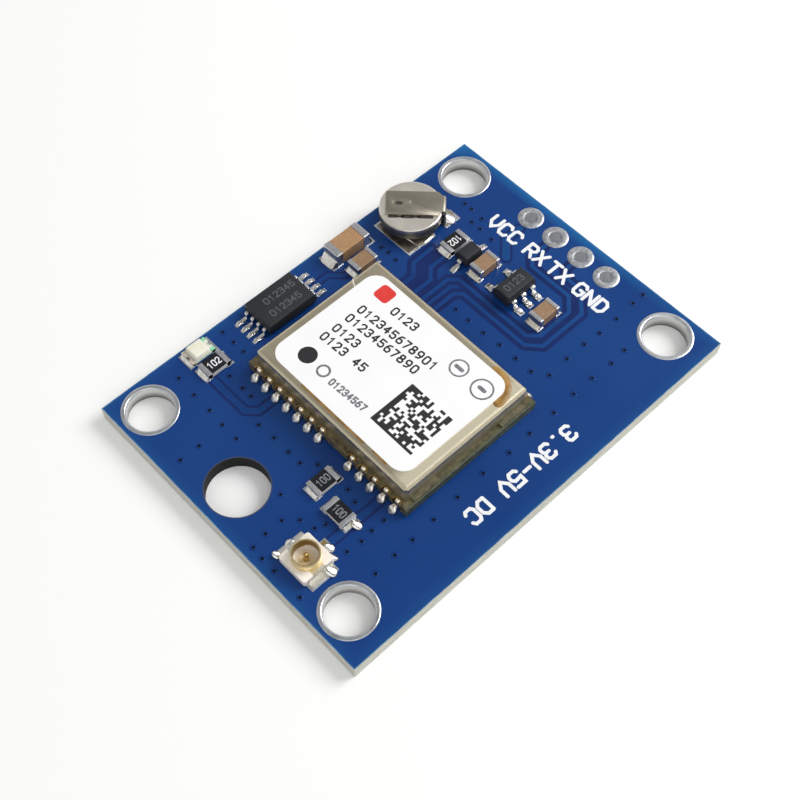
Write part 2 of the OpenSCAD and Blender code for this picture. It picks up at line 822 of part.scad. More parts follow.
// Turned shell with a snap groove, and two arms folded down to the earth pads
module socket_shell() {
    bore_r = socket_shell_d / 2 - socket_wall;
    groove_z = (socket_base_h + socket_h) / 2;
    arm_end = socket_base_w / 2 + socket_tab_t;
    color("gold") from_antenna_end(socket_at) translate([0, 0, pad_t]) {
        rotate_extrude() difference() {
            translate([bore_r, socket_base_h]) square([socket_wall, socket_h - socket_base_h]);
            translate([socket_shell_d / 2 + socket_groove_r - socket_groove_deep, groove_z])
                circle(socket_groove_r);
        }
        both_ends() {
            difference() {
                translate([-socket_arm_w / 2, 0, socket_base_h - socket_tab_t])
                    cube([socket_arm_w, arm_end, socket_tab_t]);
                cylinder(r = bore_r, h = socket_h);
            }
            translate([0, arm_end - socket_tab_t / 2, 0])
                block([socket_tab_w, socket_tab_t, socket_base_h]);
            translate([0, socket_base_w / 2 + socket_tab_out / 2, 0])
                block([socket_tab_w, socket_tab_out, socket_tab_t]);
        }
    }
}

// Centre pin on a flat tail that leaves under the base
module socket_contact() {
    color("gold") from_antenna_end(socket_at) translate([0, 0, pad_t]) {
        rotate_extrude() intersection() {
            square([socket_pin_d / 2, socket_pin_h]);
            union() {
                square([socket_pin_d / 2, socket_pin_h - socket_pin_d / 2]);
                translate([0, socket_pin_h - socket_pin_d / 2]) circle(socket_pin_d / 2);
            }
        }
        translate([0, -socket_tail_w / 2, 0])
            cube([socket_base_w / 2 + socket_tail_out, socket_tail_w, socket_tab_t]);
    }
}

// Chips with leads

module memory_body() {
    color([0.17, 0.17, 0.18]) from_antenna_end(memory_at) moulded_body(memory_size);
}

module memory_leads() {
    color("silver") from_antenna_end(memory_at)
        both_ends() lead_row(memory_size, memory_lead, 4);
}

module regulator_turn() {
    rotate(-90) children();
}

module regulator_body() {
    color([0.17, 0.17, 0.18]) from_header_end(regulator_at) moulded_body(regulator_size);
}

module regulator_leads() {
    color("silver") from_header_end(regulator_at) regulator_turn() {
        lead_row(regulator_side, regulator_lead, 3);
        rotate(180) lead_row(regulator_side, regulator_lead, 3, 1);
    }
}

module diode_body() {
    color([0.17, 0.17, 0.18]) from_header_end(diode_at) moulded_body(diode_size);
}

module diode_leads() {
    color("silver") from_header_end(diode_at) both_ends() lead_row(diode_size, diode_lead, 1);
}

// Indicator light: a printed base, metal ends with half holes and a cast lens

// Plate between the two metal ends, less the half holes that the metal lines
module light_core() {
    translate([0, 0, pad_t + end_t]) difference() {
        block([light_size[0] - 2 * end_t, light_size[1], light_size[2] - 2 * end_t]);
        both_ends() translate([light_size[0] / 2, 0, -past])
            cylinder(d = light_notch_d + 2 * end_t, h = light_size[2] + 2 * past);
    }
}

module light_base() {
    color("honeydew") from_antenna_end(light_at) light_core();
}

module light_terminals() {
    color("silver") from_antenna_end(light_at) difference() {
        both_ends() difference() {
            translate([light_size[0] / 2 - light_band / 2, 0, pad_t])
                block([light_band, light_size[1], light_size[2]]);
            translate([light_size[0] / 2, 0, 0])
                cylinder(d = light_notch_d, h = light_size[2] + past);
        }
        light_core();
    }
}

module light_lens() {
    low = light_lens_l / 2;
    high = low - light_lens_taper;
    wide = light_size[1] / 2;
    top = wide - light_lens_taper;
    color("ivory") from_antenna_end(light_at)
        translate([0, 0, pad_t + light_size[2] - end_t]) intersection() {
            rotate([90, 0, 0]) linear_extrude(light_size[1], center = true)
                polygon([[-low, 0], [low, 0], [high, light_lens_h], [-high, light_lens_h]]);
            rotate([90, 0, 90]) linear_extrude(light_lens_l, center = true)
                polygon([[-wide, 0], [wide, 0], [top, light_lens_h], [-top, light_lens_h]]);
        }
}

// Chips without leads

module chip_solder() {
    color("gainsboro") {
        from_antenna_end(bulk_at) chip_fillets(bulk_size, bulk_fillet_run);
        from_antenna_end(supply_at) chip_fillets(small_cap_size);
        from_header_end(input_at) chip_fillets(small_cap_size);
        from_header_end(output_at) chip_fillets(small_cap_size);
        from_antenna_end(light_resistor_at) chip_fillets(resistor_size);
        from_header_end(charge_resistor_at) chip_fillets(resistor_size);
        from_antenna_end(feed_resistor_at) chip_fillets(resistor_size);
        from_antenna_end(line_resistor_at) rotate(90) chip_fillets(resistor_size);
        from_antenna_end(light_at) chip_fillets(light_size);
    }
}

module lead_solder() {
    color("gainsboro") {
        from_antenna_end(memory_at) both_ends() lead_row_solder(memory_size, memory_lead, 4);
        from_header_end(regulator_at) regulator_turn() {
            lead_row_solder(regulator_side, regulator_lead, 3);
            rotate(180) lead_row_solder(regulator_side, regulator_lead, 3, 1);
        }
        from_header_end(diode_at) both_ends() lead_row_solder(diode_size, diode_lead, 1);
    }
}

module bulk_capacitor_body() { from_antenna_end(bulk_at) cap_body(bulk_size); }
module bulk_capacitor_ends() { from_antenna_end(bulk_at) cap_ends(bulk_size, bulk_band); }
module supply_capacitor_body() { from_antenna_end(supply_at) cap_body(small_cap_size); }
module supply_capacitor_ends() {
    from_antenna_end(supply_at) cap_ends(small_cap_size, small_band);
}
module input_capacitor_body() { from_header_end(input_at) cap_body(small_cap_size); }
module input_capacitor_ends() { from_header_end(input_at) cap_ends(small_cap_size, small_band); }
module output_capacitor_body() { from_header_end(output_at) cap_body(small_cap_size); }
module output_capacitor_ends() {
    from_header_end(output_at) cap_ends(small_cap_size, small_band);
}
module light_resistor_core() { from_antenna_end(light_resistor_at) resistor_core(resistor_size); }
module light_resistor_coat() { from_antenna_end(light_resistor_at) resistor_coat(resistor_size); }
module light_resistor_ends() { from_antenna_end(light_resistor_at) resistor_ends(resistor_size); }
module charge_resistor_core() { from_header_end(charge_resistor_at) resistor_core(resistor_size); }
module charge_resistor_coat() { from_header_end(charge_resistor_at) resistor_coat(resistor_size); }
module charge_resistor_ends() { from_header_end(charge_resistor_at) resistor_ends(resistor_size); }
module feed_resistor_core() { from_antenna_end(feed_resistor_at) resistor_core(resistor_size); }
module feed_resistor_coat() { from_antenna_end(feed_resistor_at) resistor_coat(resistor_size); }
module feed_resistor_ends() { from_antenna_end(feed_resistor_at) resistor_ends(resistor_size); }
module line_resistor_core() {
    from_antenna_end(line_resistor_at) rotate(90) resistor_core(resistor_size);
}
module line_resistor_coat() {
    from_antenna_end(line_resistor_at) rotate(90) resistor_coat(resistor_size);
}
module line_resistor_ends() {
    from_antenna_end(line_resistor_at) rotate(90) resistor_ends(resistor_size);
}

circuit_board();
mounting_hole_plating();
header_hole_plating();
surface_pads();
module_board();
module_edge_contacts();
module_solder();
shield_can();
module_label();
receiver_chip();
reference_crystal();
crystal_lid();
clock_crystal();
antenna_filter();
low_noise_amplifier();
module_chip_bodies();
module_chip_ends();
cell_can();
cell_seal();
cell_cap();
cell_top_tab();
cell_bottom_tab();
socket_base();
socket_shell();
socket_contact();
memory_body();
memory_leads();
regulator_body();
regulator_leads();
diode_body();
diode_leads();
light_base();
light_terminals();
light_lens();
bulk_capacitor_body();
bulk_capacitor_ends();
supply_capacitor_body();
supply_capacitor_ends();
input_capacitor_body();
input_capacitor_ends();
output_capacitor_body();
output_capacitor_ends();
light_resistor_core();
light_resistor_coat();
light_resistor_ends();
charge_resistor_core();
charge_resistor_coat();
charge_resistor_ends();
feed_resistor_core();
feed_resistor_coat();
feed_resistor_ends();
line_resistor_core();
line_resistor_coat();
line_resistor_ends();
chip_solder();
lead_solder();
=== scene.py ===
import bmesh
import bpy
import numpy as np
from mathutils import Matrix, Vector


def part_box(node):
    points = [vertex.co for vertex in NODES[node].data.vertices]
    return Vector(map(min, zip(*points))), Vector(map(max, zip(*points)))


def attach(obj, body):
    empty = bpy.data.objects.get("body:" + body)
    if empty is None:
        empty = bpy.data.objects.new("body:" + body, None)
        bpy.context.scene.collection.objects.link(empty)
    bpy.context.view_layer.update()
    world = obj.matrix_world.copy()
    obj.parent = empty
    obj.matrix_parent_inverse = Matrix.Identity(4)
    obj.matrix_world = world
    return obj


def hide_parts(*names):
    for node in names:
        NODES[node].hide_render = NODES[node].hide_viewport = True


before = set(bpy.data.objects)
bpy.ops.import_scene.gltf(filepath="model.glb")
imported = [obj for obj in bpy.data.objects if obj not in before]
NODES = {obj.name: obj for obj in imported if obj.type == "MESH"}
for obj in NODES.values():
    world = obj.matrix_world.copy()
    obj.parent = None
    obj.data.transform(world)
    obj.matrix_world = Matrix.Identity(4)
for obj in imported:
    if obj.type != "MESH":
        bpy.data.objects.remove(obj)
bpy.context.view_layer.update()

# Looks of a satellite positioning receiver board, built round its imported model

MM = 0.001


def box_mm(node):
    """Lowest and highest corner of a CAD node in millimetres."""
    return np.array(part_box(node)) / MM


def middle_mm(node):
    """Middle of a CAD node's box in millimetres."""
    return box_mm(node).mean(0)


BOARD_LOW, BOARD_HIGH = box_mm("circuit_board")
BOARD_TOP = BOARD_HIGH[2]
PAD_TOP = box_mm("surface_pads")[1][2]
MODULE_LOW, MODULE_HIGH = box_mm("module_board")
LABEL_LOW, LABEL_HIGH = box_mm("module_label")
LABEL_TOP = LABEL_HIGH[2]
CAN_LOW, CAN_HIGH = box_mm("shield_can")
TAB_TOP = box_mm("cell_top_tab")[1][2]
CELL_TOP = box_mm("cell_can")[1][2]
BULK_TOP = box_mm("bulk_capacitor_body")[1][2]
# Half holes along the receiver's long edges: pitch, distance from its ends, and how many from each end
EDGE_PITCH = 1.1
EDGE_END = 1.0
EDGE_COUNTS = (7, 5)
EDGE_ROWS = np.concatenate([MODULE_HIGH[1] - EDGE_END - EDGE_PITCH * np.arange(EDGE_COUNTS[0]),
                            MODULE_LOW[1] + EDGE_END + EDGE_PITCH * np.arange(EDGE_COUNTS[1])])
CELL_AXIS = middle_mm("cell_can")[:2]
SOCKET_AXIS = middle_mm("socket_shell")[:2]
LIGHT_AXIS = middle_mm("light_terminals")[:2]
PLAIN_HOLE = (-14.73, 1.80)
PLAIN_HOLE_R = 2.25

# Camera, found from the board's corners and holes in the photograph
CAMERA_AT = (-35.510, -35.731, 80.503)
CAMERA_RIGHT = (0.72668, -0.68697, 0.00178)
CAMERA_UP = (0.58588, 0.62109, 0.52056)
CAMERA_BACK = (-0.35872, -0.37724, 0.85382)
CAMERA_LENS = 60.414
CAMERA_SENSOR = 36.0


def stance(right, up, back, at):
    """Matrix of an object at a place in metres: its three axes and its place are the columns."""
    axes = np.eye(4)
    axes[:3] = np.stack([right, up, back, at], 1)
    return Matrix(axes.tolist())


def place_camera():
    """Stands the camera at the photograph's angle."""
    data = bpy.data.cameras.new("camera")
    data.lens = CAMERA_LENS
    data.sensor_width = CAMERA_SENSOR
    data.clip_start = 0.001
    camera = bpy.data.objects.new("camera", data)
    camera.matrix_world = stance(CAMERA_RIGHT, CAMERA_UP, CAMERA_BACK, np.array(CAMERA_AT) * MM)
    bpy.context.scene.collection.objects.link(camera)
    bpy.context.scene.camera = camera


place_camera()


# Nodes and colours

def linear(hex_colour):
    """Turns an sRGB hex colour into a linear one with full alpha."""
    srgb = np.array([int(hex_colour[i:i + 2], 16) for i in (1, 3, 5)]) / 255
    light = np.where(srgb <= 0.04045, srgb / 12.92, ((srgb + 0.055) / 1.055) ** 2.4)
    return (*light.tolist(), 1.0)


def empty_tree(owner):
    """The cleared node tree of a material or a world."""
    owner.use_nodes = True
    owner.node_tree.nodes.clear()
    return owner.node_tree


def add(tree, kind, inputs, **settings):
    """Adds one node with its settings. An input given as an output socket is linked, a hex string is
    a colour, and anything else is a plain value. Gives the node's first live output."""
    node = tree.nodes.new("ShaderNode" + kind)
    for name, value in settings.items():
        setattr(node, name, value)
    for key, value in inputs.items():
        if isinstance(value, bpy.types.NodeSocket):
            tree.links.new(value, node.inputs[key])
        else:
            node.inputs[key].default_value = linear(value) if isinstance(value, str) else value
    return next((socket for socket in node.outputs if socket.enabled), None)


def make_finish(recipe):
    """A material named for its recipe. The recipe gets the tree and Object coordinates, and gives
    the inputs of the Principled shader."""
    material = bpy.data.materials.new(recipe.__name__)
    tree = empty_tree(material)
    place = add(tree, "TexCoord", {}).node.outputs["Object"]
    surface = add(tree, "BsdfPrincipled", recipe(tree, place))
    add(tree, "OutputMaterial", {"Surface": surface})
    return material


def patches(tree, place, size, low, high, detail=2.0):
    """Soft uneven patches about size millimetres across, as a value that runs from low to high."""
    noise = add(tree, "TexNoise", {"Vector": place, "Scale": 1 / (size * MM), "Detail": detail})
    return add(tree, "MapRange", {"Value": noise, 1: 0.25, 2: 0.75, 3: low, 4: high})


def mottled(tree, place, size, first, second, detail=2.0):
    """Two colours that run into each other in soft patches about size millimetres across."""
    share = patches(tree, place, size, 0.0, 1.0, detail)
    return add(tree, "Mix", {0: share, 6: first, 7: second}, data_type="RGBA")


def relief(tree, place, size, depth, detail=2.0):
    """A bumpy surface normal: lumps about size millimetres across and depth millimetres high."""
    noise = add(tree, "TexNoise", {"Vector": place, "Scale": 1 / (size * MM), "Detail": detail})
    return add(tree, "Bump", {"Height": noise, "Strength": 1.0, "Distance": depth * MM})


def from_axis(tree, place, axis):
    """Distance from an upright axis: the length of the flattened place less the axis."""
    flat = add(tree, "VectorMath", {0: place, 1: (1.0, 1.0, 0.0)}, operation="MULTIPLY")
    at = (axis[0] * MM, axis[1] * MM, 0.0)
    return add(tree, "VectorMath", {0: flat, 1: at}, operation="DISTANCE").node.outputs["Value"]


def bare_metal(tree, place, colour, dulling, lumps):
    """Inputs of a bare metal: dulling is the size of its patches and its least and greatest roughness,
    lumps their size and height."""
    return {"Base Color": colour, "Metallic": 1.0, "Roughness": patches(tree, place, *dulling),
            "Normal": relief(tree, place, *lumps)}


def seen_rays(tree):
    """Which rays come straight from the camera, and which show a surface to the eye at all: those, and
    the ones that were mirrored or passed through."""
    path = add(tree, "LightPath", {}).node.outputs
    seen = add(tree, "Math", {0: path["Is Camera Ray"], 1: path["Is Glossy Ray"]}, operation="MAXIMUM")
    seen = add(tree, "Math", {0: seen, 1: path["Is Transmission Ray"]}, operation="MAXIMUM")
    return path["Is Camera Ray"], seen


# Finishes of the board

MASK_DEEP = "#123a7b"
MASK_LIGHT = "#194384"
MASK_EDGE = "#1f6aa6"
MASK_BURR = "#86b0c4"
MASK_GAP = "#13265c"
LAMINATE_PALE = "#d8d6cc"
LAMINATE_DARK = "#b3b1a5"
# The mask's gloss is dulled by fine dust, so it mirrors less than clean epoxy
MASK_MIRROR = 0.22


# Depth below a face that still counts as mask
MASK_DEPTH = 0.006
# Where the mask thins: width and strength of the band at the header end, the stretch from the back edge
# over which that band weakens and what is left of it, width and strength along all edges, and the
# stretch and strength in the back corner of the header end
HEADER_BAND = (0.95, 0.95)
HEADER_FADE = (13.0, 19.5, 0.4)
EDGE_BAND = (0.9, 0.22)
CORNER_BAND = (0.3, 2.6, 1.15)
# Torn edge of the mask along the saw cut, from full to none
BURR_BAND = (0.02, 0.09)
# Bare rim of the plain hole, from full to none, and how far its drilled wall, painted dark as shade, is told
# from the mask
HOLE_RIM = (0.03, 0.12)
HOLE_WALL = 0.1


def glossy_mask(tree, place, colour, rough):
    """Inputs of the screened mask: glossy epoxy with a faint orange peel."""
    return {"Base Color": colour, "Roughness": rough, "IOR": 1.5, "Specular IOR Level": MASK_MIRROR,
            "Normal": relief(tree, place, 0.5, 0.001)}


def masked_board(tree, place):
    """Glass-epoxy laminate under screened blue solder mask. The mask is a smooth glossy epoxy, deep blue
    over the copper and greener where it thins towards the header end and the edges; the sawn edges show pale
    fibre layers, and the plain hole's drilled wall is painted near black as the shade inside the hole."""
    half = (BOARD_HIGH - BOARD_LOW) / 2 * MM
    middle = (BOARD_HIGH + BOARD_LOW) / 2 * MM
    centred = add(tree, "VectorMath", {0: place, 1: tuple(middle)}, operation="SUBTRACT")
    outward = add(tree, "VectorMath", {0: centred}, operation="ABSOLUTE")
    inset = add(tree, "VectorMath", {0: tuple(half), 1: outward}, operation="SUBTRACT")
    to_end, to_side, to_face = add(tree, "SeparateXYZ", {0: inset}).node.outputs
    on_face = add(tree, "Math", {0: to_face, 1: MASK_DEPTH * MM}, operation="LESS_THAN")
    to_edge = add(tree, "Math", {0: to_end, 1: to_side}, operation="MINIMUM")
    to_far = add(tree, "VectorMath", {0: tuple(half), 1: centred}, operation="SUBTRACT")
    to_header, to_back, _ = add(tree, "SeparateXYZ", {0: to_far}).node.outputs
    to_corner = add(tree, "Math", {0: to_header, 1: to_back}, operation="ADD")

    blue = mottled(tree, place, 9.0, MASK_DEEP, MASK_LIGHT)
    width, strength = HEADER_BAND
    header = add(tree, "MapRange", {"Value": to_header, 1: 0.0, 2: width * MM, 3: strength, 4: 0.0})
    start, end, left = HEADER_FADE
    fading = add(tree, "MapRange", {"Value": to_back, 1: start * MM, 2: end * MM, 3: 1.0, 4: left})
    header = add(tree, "Math", {0: header, 1: fading}, operation="MULTIPLY")
    width, strength = EDGE_BAND
    sides = add(tree, "MapRange", {"Value": to_edge, 1: 0.0, 2: width * MM, 3: strength, 4: 0.0})
    start, end, strength = CORNER_BAND
    corner = add(tree, "MapRange", {"Value": to_corner, 1: start * MM, 2: end * MM, 3: strength, 4: 0.0})
    thin = add(tree, "Math", {0: header, 1: sides}, operation="MAXIMUM")
    thin = add(tree, "Math", {0: thin, 1: corner}, operation="MAXIMUM")
    uneven = add(tree, "Math", {0: thin, 1: patches(tree, place, 6.0, 0.7, 1.1)}, operation="MULTIPLY")
    mask = add(tree, "Mix", {0: uneven, 6: blue, 7: MASK_EDGE}, data_type="RGBA")
    start, end = BURR_BAND
    burr_line = add(tree, "MapRange", {"Value": to_edge, 1: start * MM, 2: end * MM, 3: 1.0, 4: 0.0})
    burr = add(tree, "Math", {0: burr_line, 1: patches(tree, place, 0.8, 0.1, 1.0)}, operation="MULTIPLY")
    mask = add(tree, "Mix", {0: burr, 6: mask, 7: MASK_BURR}, data_type="RGBA")

    hole = from_axis(tree, place, PLAIN_HOLE)
    start, end = PLAIN_HOLE_R + np.array(HOLE_RIM)
    rim = add(tree, "MapRange", {"Value": hole, 1: start * MM, 2: end * MM, 3: 0.75, 4: 0.0})
    mask = add(tree, "Mix", {0: rim, 6: mask, 7: "#4b4f52"}, data_type="RGBA")
    layers = add(tree, "Mapping", {"Vector": place, "Scale": (1.0, 1.0, 9.0)})
    fibres = patches(tree, layers, 0.9, 0.0, 1.0, 4.0)
    sawn = add(tree, "Mix", {0: fibres, 6: LAMINATE_PALE, 7: LAMINATE_DARK}, data_type="RGBA")
    # Painted shade: the plain hole's drilled wall is coloured near black
    drilled = add(tree, "Mix", {0: fibres, 6: "#121315", 7: "#222223"}, data_type="RGBA")
    in_hole = add(tree, "Math", {0: hole, 1: (PLAIN_HOLE_R + HOLE_WALL) * MM}, operation="LESS_THAN")
    laminate = add(tree, "Mix", {0: in_hole, 6: sawn, 7: drilled}, data_type="RGBA")
    colour = add(tree, "Mix", {0: on_face, 6: laminate, 7: mask}, data_type="RGBA")
    gloss = patches(tree, place, 1.6, 0.17, 0.25)
    rough = add(tree, "MapRange", {"Value": on_face, 3: 0.7, 4: gloss})
    return glossy_mask(tree, place, colour, rough)


def mask_over_copper(tree, place):
    """The same mask where it climbs over a copper track: the board's blue, and greener towards the
    header end, where it is thin."""
    along = add(tree, "SeparateXYZ", {0: place}).node.outputs["X"]
    thin = add(tree, "MapRange", {"Value": along, 1: 6.0 * MM, 2: 13.0 * MM, 3: 0.0, 4: 0.2})
    blue = mottled(tree, place, 3.0, "#123a78", "#174285")
    colour = add(tree, "Mix", {0: thin, 6: blue, 7: MASK_EDGE}, data_type="RGBA")
    return glossy_mask(tree, place, colour, 0.2)


def mask_over_laminate(tree, place):
    """The mask where the copper was etched away: it lies on dark laminate and reads as navy."""
    colour = mottled(tree, place, 2.0, MASK_GAP, "#172f6b")
    return glossy_mask(tree, place, colour, 0.24)


def via_mask(tree, place):
    """Mask sagging into a drilled via: a glossy blue rim round a pit that is painted near black as the shade
    inside it. The UV map runs from 0 at the middle of the via to 1 at its rim."""
    radius = add(tree, "SeparateXYZ", {0: add(tree, "UVMap", {})})
    rim = add(tree, "MapRange", {"Value": radius, 1: 0.42, 2: 0.54})
    # Painted shade: the pit in the via's middle is near black
    colour = add(tree, "Mix", {0: rim, 6: "#080f1e", 7: MASK_DEEP}, data_type="RGBA")
    rough = patches(tree, place, 0.4, 0.1, 0.18)
    return {"Base Color": colour, "Roughness": rough, "IOR": 1.5, "Specular IOR Level": MASK_MIRROR}


def white_legend_ink(tree, place):
    """Screened white epoxy ink: opaque and matt, a little thin in places so that it greys."""
    colour = mottled(tree, place, 0.35, "#eceef2", "#fafbfc")
    return {"Base Color": colour, "Roughness": 0.55, "IOR": 1.5,
            "Normal": relief(tree, place, 0.12, 0.003)}


def worn_code_ink(tree, place):
    """Overprinted code on a resistor, rubbed thin: pale grey with the coat showing through."""
    colour = mottled(tree, place, 0.16, "#5d6368", "#989ea2")
    return {"Base Color": colour, "Roughness": 0.45, "IOR": 1.5}


# Finishes of metal

LOWER_RING = (0.03, 0.09)


def on_rings(tree, height, start, end):
    """How much a height lies on the rings of a plated hole and not in its barrel: it rises from start to
    end below the upper ring's top, and falls over LOWER_RING at the lower one."""
    above = add(tree, "MapRange", {"Value": height, 1: (PAD_TOP - start) * MM, 2: (PAD_TOP - end) * MM})
    below = add(tree, "MapRange", {"Value": height, 1: LOWER_RING[0] * MM, 2: LOWER_RING[1] * MM,
                                   3: 1.0, 4: 0.0})
    return add(tree, "Math", {0: above, 1: below}, operation="MAXIMUM")


def levelled_tin(tree, place):
    """Hot-air levelled tin on copper: a soft bright ring with shallow runs. Down a hole's barrel it is
    painted darker towards the bottom, from bright metal at the lip to brown-grey, as the shade deep in the
    hole."""
    ring_colour = mottled(tree, place, 0.9, "#bcc0c5", "#e2e4e7")
    height = add(tree, "SeparateXYZ", {0: place}).node.outputs["Z"]
    # Painted shade: down the barrel the colour darkens towards the bottom
    depth = add(tree, "MapRange", {"Value": height, 1: 0.0, 2: 0.8 * MM})
    barrel = add(tree, "Mix", {0: depth, 6: "#3c3633", 7: "#dcdcda"}, data_type="RGBA")
    on_ring = on_rings(tree, height, 0.18, 0.07)
    colour = add(tree, "Mix", {0: on_ring, 6: barrel, 7: ring_colour}, data_type="RGBA")
    return bare_metal(tree, place, colour, (0.6, 0.26, 0.38), (0.6, 0.003))


def satin_tin(tree, place):
    """The same tin on the header rings, frosted by its cooling: mid grey, satin, with fine pits; the
    barrels stay bright, so the bores look pale."""
    ring_colour = mottled(tree, place, 0.2, "#a2a5ab", "#d3d4d6", 3.0)
    height = add(tree, "SeparateXYZ", {0: place}).node.outputs["Z"]
    on_ring = on_rings(tree, height, 0.14, 0.05)
    colour = add(tree, "Mix", {0: on_ring, 6: "#e6ebf6", 7: ring_colour}, data_type="RGBA")
    return bare_metal(tree, place, colour, (0.2, 0.32, 0.5), (0.16, 0.005))


def reflowed_solder(tree, place):
    """Reflowed solder paste: bright and wet-looking, with a fine frosty grain."""
    colour = mottled(tree, place, 0.25, "#c4c1bb", "#efede8")
    return bare_metal(tree, place, colour, (0.2, 0.1, 0.24), (0.3, 0.004))


def edge_solder(tree, place):
    """Solder drawn up the receiver's half holes: silver at its foot, a darker brown at its neck, and cream
    where it caps the gold at the top."""
    height = add(tree, "SeparateXYZ", {0: place}).node.outputs["Z"]
    neck_low, neck_high = (PAD_TOP + np.array([0.4, 0.56])) * MM
    neck = add(tree, "MapRange", {"Value": height, 1: neck_low, 2: neck_high, 3: 0.0, 4: 0.75})
    cap_low, cap_high = (MODULE_HIGH[2] + np.array([-0.06, 0.04])) * MM
    cap = add(tree, "MapRange", {"Value": height, 1: cap_low, 2: cap_high})
    silver = mottled(tree, place, 0.3, "#c3c1bc", "#f0eee9")
    colour = add(tree, "Mix", {0: neck, 6: silver, 7: "#8d7444"}, data_type="RGBA")
    colour = add(tree, "Mix", {0: cap, 6: colour, 7: "#f6eed8"}, data_type="RGBA")
    return bare_metal(tree, place, colour, (0.2, 0.18, 0.3), (0.35, 0.004))


def plated_tin_caps(tree, place):
    """Barrel-plated tin on the ends of chip parts: pale satin silver with a fine crystalline grain."""
    colour = mottled(tree, place, 0.18, "#c2c3c6", "#dbdbdd")
    return bare_metal(tree, place, colour, (0.3, 0.28, 0.4), (0.24, 0.002))


def tinned_leads(tree, place):
    """Dipped tin on bent copper leads: bright and smooth, with soft ripples from the bends."""
    colour = mottled(tree, place, 0.3, "#cfcdc9", "#efeeec")
    return bare_metal(tree, place, colour, (0.2, 0.14, 0.26), (0.3, 0.003))


def gold_flash(tree, place):
    """Thin gold over nickel: warm and bright, with silvery wear."""
    worn = patches(tree, place, 0.3, 0.0, 0.6)
    colour = add(tree, "Mix", {0: worn, 6: "#cfa95c", 7: "#d9cba4"}, data_type="RGBA")
    return bare_metal(tree, place, colour, (0.2, 0.2, 0.32), (0.15, 0.002))


def socket_plating(tree, place):
    """Plating of the antenna socket: gold on the round shell, painted browner inside it as the shade in the
    cup, and tinned by the solder on the tabs that reach out from it."""
    radius = from_axis(tree, place, SOCKET_AXIS)
    tinned = add(tree, "MapRange", {"Value": radius, 1: 1.02 * MM, 2: 1.12 * MM})
    # Painted shade: the gold is browner inside the shell
    inside = add(tree, "MapRange", {"Value": radius, 1: 0.88 * MM, 2: 0.93 * MM, 3: 1.0, 4: 0.0})
    worn = patches(tree, place, 0.3, 0.0, 0.7)
    gold = add(tree, "Mix", {0: worn, 6: "#ecd08e", 7: "#f5ecd0"}, data_type="RGBA")
    gold = add(tree, "Mix", {0: inside, 6: gold, 7: "#9a8048"}, data_type="RGBA")
    colour = add(tree, "Mix", {0: tinned, 6: gold, 7: "#f0ece2"}, data_type="RGBA")
    return bare_metal(tree, place, colour, (0.3, 0.3, 0.42), (0.3, 0.001))


def nickel_silver_sheet(tree, place):
    """Rolled nickel silver, pressed to a can: champagne grey with rolling lines along Y, dull handling marks
    in soft patches, a matt green-brown crust low on its walls that is partly flux and partly painted shade
    darkening towards the base, and a pale dried film on the top beside the label's front edge."""
    lines = add(tree, "Mapping", {"Vector": place, "Scale": (1.0, 0.06, 1.0)})
    rolled = patches(tree, lines, 0.12, 0.0, 1.0, 3.0)
    dull = patches(tree, place, 3.5, 0.0, 0.5)
    _, along, height = add(tree, "SeparateXYZ", {0: place}).node.outputs
    # Partly flux crust, partly painted shade: the walls darken towards their base
    low_wall_flux_and_shade = add(tree, "MapRange", {"Value": height, 1: (CAN_HIGH[2] - 1.1) * MM,
                                      2: (CAN_HIGH[2] - 0.35) * MM, 3: 0.95, 4: 0.0})
    flux = add(tree, "Math", {0: low_wall_flux_and_shade, 1: patches(tree, place, 1.2, 0.6, 1.1)}, operation="MULTIPLY")
    on_top = add(tree, "MapRange", {"Value": height, 1: (CAN_HIGH[2] - 0.08) * MM,
                                    2: (CAN_HIGH[2] - 0.01) * MM})
    in_front = add(tree, "MapRange", {"Value": along, 1: LABEL_LOW[1] * MM, 2: (LABEL_LOW[1] + 0.9) * MM,
                                      3: 1.0, 4: 0.0})
    mottle = patches(tree, place, 0.45, 0.0, 1.0, 3.0)
    green = add(tree, "Mix", {0: mottle, 6: "#2a3527", 7: "#625f45"}, data_type="RGBA")
    brown = add(tree, "Mix", {0: mottle, 6: "#4d4229", 7: "#8a7b57"}, data_type="RGBA")
    front_wall = add(tree, "MapRange", {"Value": along, 1: (CAN_LOW[1] + 0.1) * MM,
                                        2: (CAN_LOW[1] + 0.6) * MM, 3: 1.0, 4: 0.0})
    crust = add(tree, "Mix", {0: front_wall, 6: brown, 7: green}, data_type="RGBA")
    film = add(tree, "Math", {0: on_top, 1: in_front}, operation="MULTIPLY")
    bright = add(tree, "Mix", {0: rolled, 6: "#ccc1a6", 7: "#d9cfb7"}, data_type="RGBA")
    colour = add(tree, "Mix", {0: dull, 6: bright, 7: "#b7ac90"}, data_type="RGBA")
    colour = add(tree, "Mix", {0: flux, 6: colour, 7: crust}, data_type="RGBA")
    colour = add(tree, "Mix", {0: film, 6: colour, 7: "#d0c7ad"}, data_type="RGBA")
    covered = add(tree, "Math", {0: flux, 1: film}, operation="MAXIMUM")
    bare = add(tree, "MapRange", {"Value": covered, 3: 1.0, 4: 0.25})
    rough = patches(tree, place, 2.0, 0.3, 0.4)
    return {"Base Color": colour, "Metallic": bare, "Roughness": rough,
            "Normal": relief(tree, lines, 0.12, 0.0008)}


def scraped_sheet(tree, place):
    """The can's metal freshly scraped: pale, dull and rough."""
    colour = mottled(tree, place, 0.1, "#e2dac4", "#fbf7ea")
    return {"Base Color": colour, "Metallic": 0.2, "Roughness": 0.5,
            "Normal": relief(tree, place, 0.1, 0.003)}


